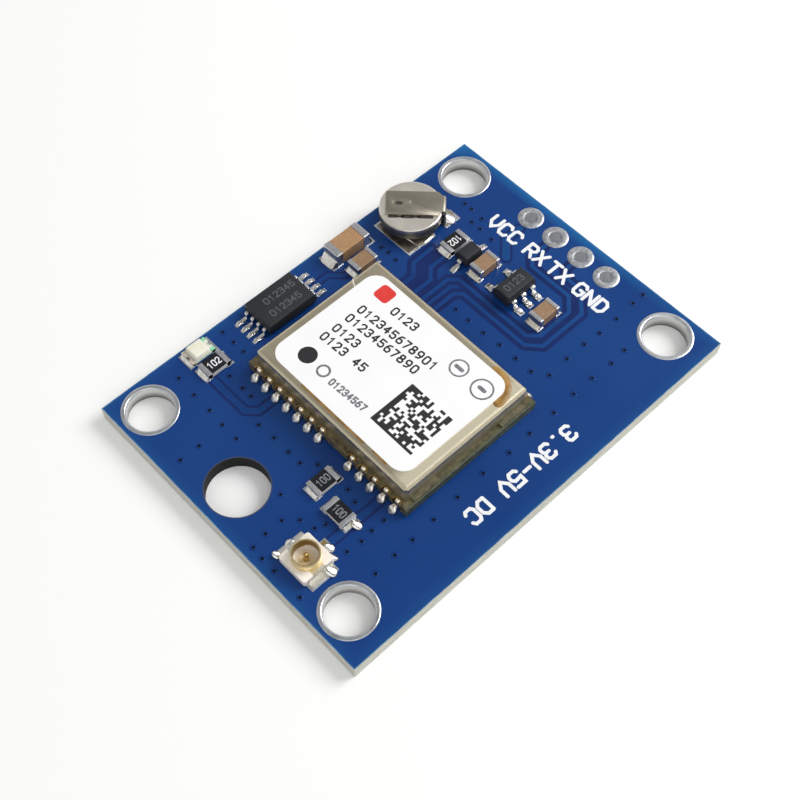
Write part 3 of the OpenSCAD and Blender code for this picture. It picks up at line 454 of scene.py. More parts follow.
def stainless_can(tree, place):
    """Drawn stainless steel of the cell: smooth warm grey with fine turned lines round its middle, and a
    wall painted browner and darker below its top edge as shade."""
    radius = from_axis(tree, place, CELL_AXIS)
    turned_lines = patches(tree, add(tree, "CombineXYZ", {0: radius}), 0.06, 0.0, 1.0)
    face = add(tree, "Mix", {0: turned_lines, 6: "#e6dfd3", 7: "#f2ece2"}, data_type="RGBA")
    height = add(tree, "SeparateXYZ", {0: place}).node.outputs["Z"]
    # Painted shade: the wall darkens below the top edge
    wall = add(tree, "MapRange", {"Value": height, 1: (CELL_TOP - 0.41) * MM, 2: (CELL_TOP - 0.08) * MM,
                                  3: 1.0, 4: 0.0})
    colour = add(tree, "Mix", {0: wall, 6: face, 7: "#978a74"}, data_type="RGBA")
    rough = patches(tree, place, 0.8, 0.34, 0.44)
    return {"Base Color": colour, "Metallic": 1.0, "Roughness": rough}


def nickel_tab_strip(tree, place):
    """Rolled nickel strip of the cell's tabs: dull grey-brown with fine rolling lines and stains."""
    lines = add(tree, "Mapping", {"Vector": place, "Rotation": (0.0, 0.0, 0.785),
                                  "Scale": (1.0, 0.08, 1.0)})
    colour = mottled(tree, lines, 0.08, "#9c9688", "#afa99b")
    return bare_metal(tree, place, colour, (0.9, 0.34, 0.44), (0.5, 0.0006))


# Finishes of plastic, ceramic and film

def module_laminate(tree, place):
    """The receiver's own board: dark green mask, with brown flux and raw glass-epoxy at its edges."""
    clouds = patches(tree, place, 0.4, 0.0, 1.0, 3.0)
    brown = add(tree, "Mix", {0: clouds, 6: "#2e3222", 7: "#857450"}, data_type="RGBA")
    green = add(tree, "Mix", {0: clouds, 6: "#233021", 7: "#5c5f45"}, data_type="RGBA")
    along = add(tree, "SeparateXYZ", {0: place}).node.outputs["Y"]
    front = add(tree, "MapRange", {"Value": along, 1: MODULE_LOW[1] * MM, 2: (MODULE_LOW[1] + 0.6) * MM,
                                   3: 1.0, 4: 0.0})
    colour = add(tree, "Mix", {0: front, 6: brown, 7: green}, data_type="RGBA")
    return {"Base Color": colour, "Roughness": 0.42, "IOR": 1.5,
            "Normal": relief(tree, place, 0.2, 0.006)}


def label_film(tree, place):
    """White polyester label: smooth, satin, very slightly wavy over the can."""
    colour = mottled(tree, place, 3.0, "#fafafa", "#ffffff")
    rough = patches(tree, place, 1.0, 0.36, 0.46)
    return {"Base Color": colour, "Roughness": rough, "IOR": 1.5,
            "Normal": relief(tree, place, 2.2, 0.002)}


def moulded_epoxy(tree, place):
    """Black epoxy moulding compound with silica filler: charcoal and matt, with a fine grey speckle.
    The filler is about 0.03 mm; it is drawn at 0.09 mm so that it shows."""
    colour = mottled(tree, place, 0.09, "#1f2023", "#2b2d31", 3.0)
    rough = patches(tree, place, 0.3, 0.42, 0.56)
    return {"Base Color": colour, "Roughness": rough, "IOR": 1.55, "Specular IOR Level": 0.35,
            "Normal": relief(tree, place, 0.07, 0.002)}


def laser_mark(tree, place):
    """Laser-frosted marking on moulding compound: a faint matt grey."""
    colour = mottled(tree, place, 0.1, "#45464a", "#5c5d62")
    return {"Base Color": colour, "Roughness": 0.7, "IOR": 1.55}


def brown_dielectric(tree, place):
    """Fired barium titanate of a layered capacitor: tan brown, slightly waxy, with darker specks. The tall
    bulk capacitor is lighter than the small ones."""
    specks = patches(tree, place, 0.22, 0.0, 1.0, 4.0)
    height = add(tree, "SeparateXYZ", {0: place}).node.outputs["Z"]
    tall = add(tree, "MapRange", {"Value": height, 1: (BULK_TOP - 0.25) * MM, 2: (BULK_TOP - 0.11) * MM})
    small_body = add(tree, "Mix", {0: specks, 6: "#8c6d4e", 7: "#a38363"}, data_type="RGBA")
    tall_body = add(tree, "Mix", {0: specks, 6: "#a07a54", 7: "#b98f66"}, data_type="RGBA")
    colour = add(tree, "Mix", {0: tall, 6: small_body, 7: tall_body}, data_type="RGBA")
    rough = patches(tree, place, 0.3, 0.34, 0.5)
    return {"Base Color": colour, "Roughness": rough, "IOR": 1.6,
            "Normal": relief(tree, place, 0.1, 0.0015)}


def white_alumina(tree, place):
    """Fired alumina of a film resistor: off-white and chalky, with a grey snapped edge."""
    colour = mottled(tree, place, 0.3, "#cbc8c4", "#e4e2de")
    return {"Base Color": colour, "Roughness": 0.6, "IOR": 1.6,
            "Normal": relief(tree, place, 0.12, 0.004)}


def black_overglaze(tree, place):
    """Printed and fired overglaze of a resistor: black, fairly glossy, with a slight screen texture."""
    colour = mottled(tree, place, 0.2, "#131416", "#1e1f22")
    return {"Base Color": colour, "Roughness": 0.34, "IOR": 1.5, "Specular IOR Level": 0.35,
            "Normal": relief(tree, place, 0.12, 0.003)}


def crystal_ceramic(tree, place):
    """Fired ceramic package of an oscillator: warm dark grey and matt."""
    colour = mottled(tree, place, 0.3, "#6b6660", "#7c766e")
    return {"Base Color": colour, "Roughness": 0.55, "IOR": 1.6}


def seam_welded_lid(tree, place):
    """Plated lid of an oscillator: satin metal with a brushed grain."""
    colour = mottled(tree, place, 0.3, "#b9b3a4", "#cac5b8")
    return {"Base Color": colour, "Metallic": 1.0, "Roughness": 0.32}


def nylon_seal(tree, place):
    """Moulded nylon ring of the cell: milky grey."""
    colour = mottled(tree, place, 0.4, "#6f7278", "#83868b")
    return {"Base Color": colour, "Roughness": 0.5, "IOR": 1.53}


def socket_plastic(tree, place):
    """Liquid-crystal polymer of the socket: ivory, matt, with faint flow marks, and painted a warm gold
    inside the shell as the gold's reflection."""
    flow = add(tree, "Mapping", {"Vector": place, "Scale": (1.0, 0.3, 1.0)})
    ivory = mottled(tree, flow, 0.35, "#f1e8db", "#fbf5ec")
    radius = from_axis(tree, place, SOCKET_AXIS)
    # Painted reflection: the plastic inside the shell is tinted warm gold
    inside = add(tree, "MapRange", {"Value": radius, 1: 0.3 * MM, 2: 0.8 * MM, 3: 0.75, 4: 0.05})
    in_shell = add(tree, "Math", {0: radius, 1: 0.9 * MM}, operation="LESS_THAN")
    glow = add(tree, "Math", {0: inside, 1: in_shell}, operation="MULTIPLY")
    colour = add(tree, "Mix", {0: glow, 6: ivory, 7: "#ffe09a"}, data_type="RGBA")
    return {"Base Color": colour, "Roughness": 0.5, "IOR": 1.6,
            "Normal": relief(tree, place, 0.12, 0.002)}


def light_laminate(tree, place):
    """Base of the indicator light: white laminate, minty at the sawn edges."""
    colour = mottled(tree, place, 0.3, "#cfe9d8", "#eaf1e6")
    return {"Base Color": colour, "Roughness": 0.45, "IOR": 1.5}


def light_ends(tree, place):
    """Ends of the indicator light: white mask with minty corners at one end, worn through to a tan
    plating at the other."""
    off_axis = add(tree, "VectorMath", {0: place, 1: (LIGHT_AXIS[0] * MM, LIGHT_AXIS[1] * MM, 0.0)},
                   operation="SUBTRACT")
    along, aside, _ = add(tree, "SeparateXYZ", {0: off_axis}).node.outputs
    out = add(tree, "Math", {0: aside}, operation="ABSOLUTE")
    minty = add(tree, "MapRange", {"Value": out, 1: 0.32 * MM, 2: 0.44 * MM})
    clouds = patches(tree, place, 0.2, 0.0, 1.0)
    white = add(tree, "Mix", {0: clouds, 6: "#d9dfcf", 7: "#f1f1e6"}, data_type="RGBA")
    mint = add(tree, "Mix", {0: minty, 6: white, 7: "#8fdcae"}, data_type="RGBA")
    tan = add(tree, "Mix", {0: clouds, 6: "#b9ad9c", 7: "#d8d0c4"}, data_type="RGBA")
    worn_end = add(tree, "Math", {0: along, 1: 0.0}, operation="LESS_THAN")
    colour = add(tree, "Mix", {0: worn_end, 6: mint, 7: tan}, data_type="RGBA")
    return {"Base Color": colour, "Roughness": 0.34, "IOR": 1.5,
            "Normal": relief(tree, place, 0.16, 0.006)}


def light_resin(tree, place):
    """Cast epoxy lens of the indicator light: milky cream, waxy, a little see-through."""
    colour = mottled(tree, place, 0.5, "#eeebd2", "#f7f6ec")
    return {"Base Color": colour, "Roughness": 0.3, "IOR": 1.52, "Subsurface Weight": 0.25,
            "Subsurface Radius": (0.0006, 0.0005, 0.0003), "Subsurface Scale": 0.5,
            "Normal": relief(tree, place, 0.3, 0.003)}


def black_print(tree, place):
    """Thermal-transfer print on the label: flat black with a faint break-up."""
    colour = mottled(tree, place, 0.12, "#151518", "#28282c")
    return {"Base Color": colour, "Roughness": 0.5, "IOR": 1.5}


def grey_print(tree, place):
    """The same print where the ribbon ran thin: mid grey and patchy."""
    colour = mottled(tree, place, 0.16, "#4c4c52", "#9a9aa0")
    return {"Base Color": colour, "Roughness": 0.5, "IOR": 1.5}


def red_print(tree, place):
    """Spot-colour red ink on the label: even and satin."""
    colour = mottled(tree, place, 0.4, "#dd2f27", "#e8413a")
    return {"Base Color": colour, "Roughness": 0.45, "IOR": 1.5}


def burnt_flux_and_painted_shadow(tree, place):
    """Flux scorched by a weld, a thin brown-black crust; the same dark brown is painted as the shadow under
    a tab's edge.
    """
    colour = mottled(tree, place, 0.12, "#14110f", "#4a433b", 3.0)
    return {"Base Color": colour, "Roughness": 0.5, "IOR": 1.5,
            "Normal": relief(tree, place, 0.1, 0.004)}


def stained_tin(tree, place):
    """Tinned pad under cooked flux: grey-brown and satin, mottled dark."""
    colour = mottled(tree, place, 0.45, "#86827c", "#c8c5c1", 3.0)
    return bare_metal(tree, place, colour, (0.3, 0.26, 0.42), (0.4, 0.004))


def amber_glue(tree, place):
    """Label adhesive pressed out and browned by reflow: glossy amber, darker where it is thick."""
    colour = mottled(tree, place, 0.5, "#86602c", "#b78e4b")
    return {"Base Color": colour, "Roughness": 0.3, "IOR": 1.5,
            "Normal": relief(tree, place, 0.3, 0.004)}


FINISH = {recipe.__name__: make_finish(recipe) for recipe in (
    masked_board, mask_over_copper, mask_over_laminate, via_mask, white_legend_ink, worn_code_ink,
    levelled_tin, satin_tin, reflowed_solder, edge_solder, plated_tin_caps, tinned_leads, gold_flash,
    socket_plating, nickel_silver_sheet, scraped_sheet, stainless_can, nickel_tab_strip, module_laminate,
    label_film, moulded_epoxy, laser_mark, brown_dielectric, white_alumina, black_overglaze, crystal_ceramic,
    seam_welded_lid, nylon_seal, socket_plastic, light_laminate, light_ends, light_resin, black_print,
    grey_print, red_print, burnt_flux_and_painted_shadow, stained_tin, amber_glue)}

# Which finish each CAD node carries
NODE_FINISH = {
    "circuit_board": "masked_board",
    "mounting_hole_plating": "levelled_tin",
    "header_hole_plating": "satin_tin",
    "surface_pads": "levelled_tin",
    "module_board": "module_laminate",
    "module_edge_contacts": "gold_flash",
    "module_solder": "edge_solder",
    "shield_can": "nickel_silver_sheet",
    "module_label": "label_film",
    "reference_crystal": "crystal_ceramic",
    "crystal_lid": "seam_welded_lid",
    "clock_crystal": "seam_welded_lid",
    "antenna_filter": "crystal_ceramic",
    "cell_can": "stainless_can",
    "cell_cap": "stainless_can",
    "cell_seal": "nylon_seal",
    "cell_top_tab": "nickel_tab_strip",
    "cell_bottom_tab": "nickel_tab_strip",
    "socket_base": "socket_plastic",
    "socket_shell": "socket_plating",
    "socket_contact": "gold_flash",
    "light_base": "light_laminate",
    "light_terminals": "light_ends",
    "light_lens": "light_resin",
    "chip_solder": "reflowed_solder",
    "lead_solder": "reflowed_solder",
}
ENDING_FINISH = {
    "_chip": "moulded_epoxy",
    "_amplifier": "moulded_epoxy",
    "_leads": "tinned_leads",
    "_ends": "plated_tin_caps",
    "_core": "white_alumina",
    "_coat": "black_overglaze",
    "capacitor_body": "brown_dielectric",
    "chip_bodies": "brown_dielectric",
    "_body": "moulded_epoxy",
}


def finish_nodes():
    """Gives every CAD node its finish, by its own name or else by the ending of its name."""
    for name, node in NODES.items():
        ending = next((e for e in ENDING_FINISH if name.endswith(e)), None)
        finish = FINISH[NODE_FINISH.get(name) or ENDING_FINISH[ending]]
        for slot in node.material_slots:
            slot.material = finish


finish_nodes()


# Surfaces

def arc(middle, radius, start, end, count=9):
    """Points on a circle's arc: middle plus radius times cosine and sine of angles in degrees."""
    angle = np.radians(np.linspace(start, end, count))
    return np.array(middle) + radius * np.stack([np.cos(angle), np.sin(angle)], 1)


def smooth(points, count):
    """Points along a smooth curve through the given ones: a cubic between each two, whose slope at a
    point is half the step between that point's neighbours."""
    points = np.asarray(points, float)
    slope = np.gradient(points, axis=0)
    place = np.linspace(0, len(points) - 1, count)
    start = np.minimum(place.astype(int), len(points) - 2)
    t = (place - start)[:, None]
    ends = points[start] * (1 + 2 * t) * (1 - t) ** 2 + points[start + 1] * t ** 2 * (3 - 2 * t)
    return ends + slope[start] * t * (1 - t) ** 2 - slope[start + 1] * t ** 2 * (1 - t)


def stroke(path, width, low, high, slope=0.0):
    """A flat-topped line along a path: at each point the profile steps half the width to both sides
    along the mitred normal, from low to high, with its foot wider by slope. The half width follows a
    quarter circle to nothing beyond both ends, which rounds them. Rows run along the path."""
    path = np.asarray(path, float)
    step = np.diff(path, axis=0)
    step /= np.linalg.norm(step, axis=1, keepdims=True)
    round_angle = np.radians(np.linspace(0, 90, 6))[:-1]
    reach = width / 2 * np.cos(round_angle)[:, None]
    before, after = np.vstack([step[:1], step]), np.vstack([step, step[-1:]])
    along = before + after
    along /= np.linalg.norm(along, axis=1, keepdims=True)
    stretch = 1 / np.maximum((along * after).sum(1), 0.6)
    half = np.concatenate([np.sin(round_angle), stretch, np.sin(round_angle)[::-1]]) * width / 2
    spine = np.vstack([path[0] - reach * step[0], path, path[-1] + reach[::-1] * step[-1]])
    ends = len(reach)
    along = np.vstack([np.repeat(along[:1], ends, 0), along, np.repeat(along[-1:], ends, 0)])
    side = np.stack([-along[:, 1], along[:, 0]], 1)
    foot = half + slope * half / (width / 2)
    offset = np.stack([-foot, -half, half, foot], 1)
    height = np.broadcast_to([low, high, high, low], offset.shape)
    flat = spine[:, None] + offset[..., None] * side[:, None]
    return np.concatenate([flat, height[..., None]], 2)


def slab(outline, low, high, edge=0.0):
    """A thin plate over a star-shaped outline: rows go from its middle below, along the outline below
    and above, drawn in by edge, to its middle above."""
    outline = np.asarray(outline, float)
    middle = outline.mean(0)
    spoke = outline - middle
    inner = outline - edge * spoke / np.linalg.norm(spoke, axis=1, keepdims=True)
    centre = np.broadcast_to(middle, outline.shape)
    heights = np.array([low, low, high, high])[:, None, None] * np.ones((1, len(outline), 1))
    return np.concatenate([np.stack([centre, outline, inner, centre]), heights], 2)


def turned(profile, middle, count):
    """A profile of radius and height carried round an upright axis through middle."""
    profile = np.asarray(profile, float)
    angle = np.linspace(0, 2 * np.pi, count, endpoint=False)
    circle = np.stack([np.cos(angle), np.sin(angle)], 1)
    flat = np.array(middle) + profile[:, 0, None, None] * circle
    height = np.broadcast_to(profile[:, 1, None, None], (*flat.shape[:2], 1))
    return np.concatenate([flat, height], 2)


def ring(middle, radius, width, low, high, count=40):
    """A flat ring: a closed four-point profile carried round."""
    inner, outer = radius - width / 2, radius + width / 2
    return turned([(inner, low), (inner, high), (outer, high), (outer, low), (inner, low)], middle, count)


def rounded(middle, size, radius, count=6):
    """Outline of a rectangle with round corners: four quarter circles in turn."""
    reach = np.array(size) / 2 - radius
    signs = np.array([(1, 1), (-1, 1), (-1, -1), (1, -1)])
    return np.concatenate([arc(np.array(middle) + reach * s, radius, 90 * k, 90 * k + 90, count)
                           for k, s in enumerate(signs)])


def mound(at, outward, ridge, floor, count=24, fullness=0.7):
    """Solder drawn out along a line: at each point of the ridge, given as distance outward, half width
    and top, the section is a bow whose height is the cosine of an angle raised to fullness while its
    side step is the sine. It closes to a line at both ends."""
    reach, half, top = smooth(ridge, count).T
    angle = np.radians(np.linspace(-90, 90, 13))
    outward = np.array(outward, float)
    left = np.array([-outward[1], outward[0]])
    flat = np.array(at) + reach[:, None, None] * outward
    flat = flat + (np.maximum(half, 0)[:, None] * np.sin(angle))[..., None] * left
    height = floor + np.maximum(top - floor, 0)[:, None] * np.abs(np.cos(angle)) ** fullness
    return np.concatenate([flat, height[..., None]], 2)


def fillet(at, outward, half, run, rise, floor, count=13):
    """Solder between a chip's end and its pad. Across the chip the reach and the climb shrink towards
    both sides with the sixth power of the distance from the middle; the section falls from the climb to
    the pad as the 1.1th power of what is left of the reach."""
    across = np.linspace(-1, 1, count)
    shrink = np.sqrt(1 - 0.995 * across ** 6)
    fall = np.linspace(0, 1, 9)
    reach = np.concatenate([[-0.1, -0.1], fall * run, [run]])
    climb = np.concatenate([[-0.01, rise], (1 - fall) ** 1.1 * rise, [-0.01]])
    back = np.where(reach < 0, 1.0, 0.0)
    outward = np.array(outward, float)
    left = np.array([-outward[1], outward[0]])
    out = reach * np.where(back > 0, 1.0, shrink[:, None])
    flat = np.array(at) + out[..., None] * outward + (across * half)[:, None, None] * left
    height = floor + np.where(climb > 0, climb * (0.3 + 0.7 * shrink[:, None]), climb)
    return capped(np.concatenate([flat, height[..., None]], 2))


def capped(grid):
    """Closes a grid at its first and last row, each drawn in to its own middle."""
    first = np.broadcast_to(grid[0].mean(0), grid[0].shape)
    last = np.broadcast_to(grid[-1].mean(0), grid[-1].shape)
    return np.concatenate([first[None], grid, last[None]])


def make_piece(name, grids, finish, uv=None, soft=True, instead_of=None):
    """Joins grids of points, in millimetres, to one mesh. Each grid is closed across its columns; its
    quads go in as whole arrays, points that meet are welded, and faces are turned outwards."""
    points, quads, used = [], [], 0
    for grid in grids:
        rows, columns = grid.shape[:2]
        index = np.arange(rows * columns).reshape(rows, columns) + used
        index = np.hstack([index, index[:, :1]])
        corners = [index[:-1, :-1], index[1:, :-1], index[1:, 1:], index[:-1, 1:]]
        quads.append(np.stack(corners, 2).reshape(-1, 4))
        points.append(grid.reshape(-1, 3))
        used += rows * columns
    points, quads = np.concatenate(points) * MM, np.concatenate(quads)
    mesh = bpy.data.meshes.new(name)
    mesh.from_pydata(points.tolist(), [], quads.tolist())
    if uv is not None:
        layer = mesh.uv_layers.new(name="UVMap")
        layer.data.foreach_set("uv", np.asarray(uv, np.float32)[quads.ravel()].ravel())
    shell = bmesh.new()
    shell.from_mesh(mesh)
    bmesh.ops.remove_doubles(shell, verts=shell.verts, dist=1e-8)
    bmesh.ops.recalc_face_normals(shell, faces=shell.faces)
    shell.to_mesh(mesh)
    shell.free()
    if soft:
        mesh.shade_smooth()
    else:
        mesh.shade_flat()
    mesh.materials.append(FINISH[finish])
    piece = bpy.data.objects.new(name, mesh)
    bpy.context.scene.collection.objects.link(piece)
    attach(piece, "root")
    if instead_of:
        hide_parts(instead_of)
    return piece


# Nodes whose hard edges are rounded in the visual model: radius and the slot of their finish
RESISTORS = ("light", "charge", "feed", "line")
LEADED_CHIPS = ("memory", "regulator", "diode")
ROUNDED = {
    **{part + "_resistor_ends": (0.05, "tin") for part in RESISTORS},
    **{part + "_resistor_core": (0.03, "white_ceramic") for part in RESISTORS},
    **{chip + "_body": (0.05, "chip_resin") for chip in LEADED_CHIPS},
    **{chip + "_leads": (0.035, "tin") for chip in LEADED_CHIPS},
    "cell_top_tab": (0.03, "tab_steel"),
    "cell_bottom_tab": (0.03, "tab_steel"),
    "socket_base": (0.05, "socket_resin"),
    "light_base": (0.03, "light_laminate"),
    "light_terminals": (0.03, "light_laminate"),
    "light_lens": (0.08, "lens_resin"),
    "module_board": (0.03, "module_mask"),
    "surface_pads": (0.015, "tin"),
}
# Pads under the half holes: how near the module's edge they lie, their share of width, and their reach
EDGE_PAD_REACH = 0.9
EDGE_PAD_NARROWING = 0.55
EDGE_PAD_OUT = 0.46
# Faces that turn less than FLAT degrees are one face, and edges that turn more than SHARP are rounded
FLAT, SHARP = 0.5, 30


def narrow_edge_pads(mesh):
    """Draws the pads under the half holes in to their solder: near the receiver's long edges a point's
    distance from the nearest half hole's middle is scaled down along Y, and its reach past the edge is
    cut off along X."""
    place = np.empty(len(mesh.vertices) * 3, np.float32)
    mesh.vertices.foreach_get("co", place)
    place = place.reshape(-1, 3) / MM
    middle, half = (MODULE_LOW[0] + MODULE_HIGH[0]) / 2, (MODULE_HIGH[0] - MODULE_LOW[0]) / 2
    out = np.abs(place[:, 0] - middle) - half
    beside = (place[:, 1] > MODULE_LOW[1]) & (place[:, 1] < MODULE_HIGH[1])
    row = EDGE_ROWS[np.abs(place[:, 1:2] - EDGE_ROWS).argmin(1)]
    drawn_in = row + (place[:, 1] - row) * EDGE_PAD_NARROWING
    cut_off = middle + np.sign(place[:, 0] - middle) * (half + np.minimum(out, EDGE_PAD_OUT))
    moved = beside & (np.abs(out) < EDGE_PAD_REACH)
    place[:, 0] = np.where(moved, cut_off, place[:, 0])
    place[:, 1] = np.where(moved, drawn_in, place[:, 1])
    mesh.vertices.foreach_set("co", (place * MM).ravel())


def round_edges(node, radius):
    """A copy of a CAD node for the eye: its points are welded, its flat faces joined, and a Bevel
    modifier rounds each edge that turns more than SHARP degrees."""
    mesh = NODES[node].data.copy()
    if node == "surface_pads":
        narrow_edge_pads(mesh)
    shell = bmesh.new()
    shell.from_mesh(mesh)
    bmesh.ops.remove_doubles(shell, verts=shell.verts, dist=1e-7)
    bmesh.ops.dissolve_limit(shell, angle_limit=np.radians(FLAT), verts=shell.verts, edges=shell.edges)
    shell.to_mesh(mesh)
    shell.free()
    mesh.shade_smooth()
    piece = bpy.data.objects.new(node + "_rounded", mesh)
    bpy.context.scene.collection.objects.link(piece)
    bevel = piece.modifiers.new("rounding", "BEVEL")
    bevel.width = radius * MM
    bevel.segments = 3
    bevel.limit_method = "ANGLE"
    bevel.angle_limit = np.radians(SHARP)
    bevel.harden_normals = True
    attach(piece, "root")
    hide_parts(node)


for node, (radius, slot) in ROUNDED.items():
    round_edges(node, radius)

# Plated holes: middle and spacing of the mounting holes, first of the header holes, their pitch and number
MOUNT_MIDDLE = (0.0, 0.365)
MOUNT_SPACING = (30.48, 20.32)
HEADER_FIRST = (16.04, 4.21)
HEADER_PITCH = 2.54
HEADER_COUNT = 4
# Radius of the bore and of the ring, how far the lip is rounded, and how far the ring is domed
MOUNT_EYELET = (1.7, 2.05, 0.13)
HEADER_EYELET = (0.5, 1.0, 0.07)
EYELET_DOME = 0.006


def eyelet(middle, sizes, count):
    """A plated hole: the section runs up the bore, over a round lip to a slightly domed ring on top,
    down its edge, back through the board and over the same lip below, and is carried round."""
    bore, outer, lip = sizes
    low, high = 0.0, PAD_TOP
    top_lip = arc((bore + lip, high - lip), lip, 180, 90, 7)
    low_lip = arc((bore + lip, low + lip), lip, 270, 180, 7)
    top = [((bore + outer) / 2 + lip / 2, high + EYELET_DOME), (outer - 0.03, high - 0.004),
           (outer, high - 0.03)]
    inside = [(outer, BOARD_TOP - 0.01), (bore + 0.03, BOARD_TOP - 0.05), (bore + 0.03, 0.06),
              (outer, 0.03)]
    return turned([*low_lip, *top_lip, *top, *inside, (outer, low), low_lip[0]], middle, count)


def plate_holes():
    """Eyelets in the mounting holes, at the corners of a rectangle, and in the header holes, in a row
    along Y."""
    reach = np.array(MOUNT_SPACING) / 2
    mounts = [eyelet(MOUNT_MIDDLE + reach * (x, y), MOUNT_EYELET, 64) for x in (-1, 1) for y in (1, -1)]
    x, first = HEADER_FIRST
    headers = [eyelet((x, first - HEADER_PITCH * k), HEADER_EYELET, 40) for k in range(HEADER_COUNT)]
    make_piece("mounting_eyelets", mounts, "levelled_tin", instead_of="mounting_hole_plating")
    make_piece("header_eyelets", headers, "satin_tin", instead_of="header_hole_plating")


plate_holes()

# Solder starts this far below what it lies on
SOLDER_SINK = 0.01
# Solder up the receiver's half holes: distance out of the module's edge, half width, top
EDGE_RIDGE = [(-0.38, 0.0, 2.06), (-0.34, 0.2, 2.11), (-0.2, 0.33, 2.18), (-0.06, 0.31, 2.13),
              (0.04, 0.26, 1.96), (0.12, 0.25, 1.8), (0.2, 0.3, 1.74), (0.3, 0.34, 1.69),
              (0.42, 0.35, 1.58), (0.52, 0.29, 1.43), (0.6, 0.16, 1.3), (0.64, 0.0, 1.24)]


def solder_edges():
    """One mound for each half hole along both long edges of the receiver's board."""
    grids = [mound((x, y), (sign, 0), EDGE_RIDGE, PAD_TOP - SOLDER_SINK)
             for x, sign in ((MODULE_LOW[0], -1), (MODULE_HIGH[0], 1)) for y in EDGE_ROWS]
    make_piece("edge_solder", grids, "edge_solder", instead_of="module_solder")


solder_edges()

# Solder at the ends of the chips: node of the ends, and reach and climb at the low and the high end
CHIP_JOINTS = {
    "bulk_capacitor_ends": (0, (0.56, 0.62), (0.4, 0.42)),
    "supply_capacitor_ends": (0, (0.3, 0.33), (0.27, 0.3)),
    "input_capacitor_ends": (0, (0.3, 0.33), (0.26, 0.28)),
    "output_capacitor_ends": (0, (0.3, 0.32), (0.3, 0.32)),
    "light_resistor_ends": (0, (0.3, 0.32), (0.26, 0.28)),
    "charge_resistor_ends": (0, (0.34, 0.36), (0.26, 0.28)),
    "feed_resistor_ends": (0, (0.24, 0.26), (0.24, 0.26)),
    "line_resistor_ends": (1, (0.26, 0.28), (0.24, 0.26)),
    "light_terminals": (0, (0.2, 0.2), (0.14, 0.12)),
}
CHIP_SOLDER_SIDE = 0.02


def solder_chips():
    """A fillet at both ends of every chip, across the whole end and a little past its sides."""
    grids = []
    for node, (axis, *ends) in CHIP_JOINTS.items():
        low, high = box_mm(node)
        middle = (low + high)[:2] / 2
        half = (high - low)[1 - axis] / 2 + CHIP_SOLDER_SIDE
        for sign, (run, rise) in zip((-1, 1), ends):
            outward = np.eye(2)[axis] * sign
            at = middle + outward * (high - low)[axis] / 2
            grids.append(fillet(at, outward, half, run, rise, PAD_TOP))
    make_piece("chip_fillets", grids, "reflowed_solder", instead_of="chip_solder")


solder_chips()

# Leads: node, direction, pitch, lead width, and the places in the row that carry a lead
LEAD_ROWS = [
    ("memory_leads", (-1, 0), 0.65, 0.27, (-1.5, -0.5, 0.5, 1.5)),
    ("memory_leads", (1, 0), 0.65, 0.27, (-1.5, -0.5, 0.5, 1.5)),
    ("regulator_leads", (0, -1), 0.95, 0.42, (-1, 0, 1)),
    ("regulator_leads", (0, 1), 0.95, 0.42, (-1, 1)),
    ("diode_leads", (-1, 0), 1.0, 0.36, (0,)),
    ("diode_leads", (1, 0), 1.0, 0.36, (0,)),
]
LEAD_RIDGE = np.array([(-0.42, 0.0, 0.0), (-0.3, 0.04, 0.06), (-0.12, 0.07, 0.1), (0.02, 0.08, 0.15),
                       (0.12, 0.06, 0.12), (0.22, 0.02, 0.06), (0.3, -0.2, 0.0)])


def solder_leads():
    """A mound round the toe of each lead: it wets both sides of the foot and runs out on the pad."""
    grids = []
    for node, outward, pitch, width, places in LEAD_ROWS:
        low, high = box_mm(node)
        outward = np.array(outward)
        aside = np.abs(outward[::-1])
        tip = (low + high)[:2] / 2 + outward * (high - low)[:2] / 2
        ridge = LEAD_RIDGE + np.array([0, width / 2, PAD_TOP])
        ridge[[0, -1], 1] = 0.0
        grids += [mound(tip + aside * pitch * k, outward, ridge, PAD_TOP - SOLDER_SINK, 18) for k in places]
    make_piece("lead_mounds", grids, "reflowed_solder", instead_of="lead_solder")


solder_leads()

# Extra solder at the socket's tabs and the cell's tabs: place, direction, length, half width, height
SOLDER_DABS = [
    ((-13.62, -6.42), (1, -1), 0.42, 0.28, 0.3),
    ((-14.9, -3.78), (0, 1), 0.4, 0.45, 0.24),
    ((7.98, 9.9), (-1, 0), 0.24, 1.6, 0.16),
    ((8.7, 8.02), (0, -1), 0.22, 0.8, 0.14),
]
DAB_SHAPE = np.array([(-0.5, 0, 0.1), (-0.3, 0.8, 0.8), (0, 1, 1), (0.4, 0.9, 0.7), (0.8, 0.5, 0.3),
                      (1, 0, 0)])
# Bright drops at the socket, the line resistor and the upper tab's foot: place and size. They lean one
# way, as if the board had been tilted while they set
SOLDER_DROPS = [((-16.08, -3.8), 0.85), ((-14.3, -7.1), 1.15), ((-13.27, -5.78), 1.0),
                ((-10.86, -5.81), 1.0), ((11.38, 8.28), 1.45)]
DROP_LEAN = (0.486, -0.874)
DROP_FULLNESS = 0.45
DROP_SHAPE = np.array([(-0.38, 0, 0.28), (-0.31, 0.2, 0.34), (-0.16, 0.3, 0.3), (0.1, 0.31, 0.19),
                       (0.28, 0.22, 0.1), (0.36, 0, 0)])


def dab_solder():
    """Low dabs of solder where a tab meets its pad, as mounds that are highest near their start, and
    fuller drops with one long sloping face."""
    grids = []
    for at, outward, length, half, high in SOLDER_DABS:
        outward = np.array(outward) / np.linalg.norm(outward)
        ridge = DAB_SHAPE * (length, half, high) + (0, 0, PAD_TOP)
        grids.append(mound(at, outward, ridge, BOARD_TOP - SOLDER_SINK, 16))
    for at, size in SOLDER_DROPS:
        ridge = DROP_SHAPE * size + (0, 0, PAD_TOP)
        grids.append(mound(at, DROP_LEAN, ridge, BOARD_TOP - SOLDER_SINK, 18, DROP_FULLNESS))
    make_piece("tab_solder", grids, "reflowed_solder")


dab_solder()
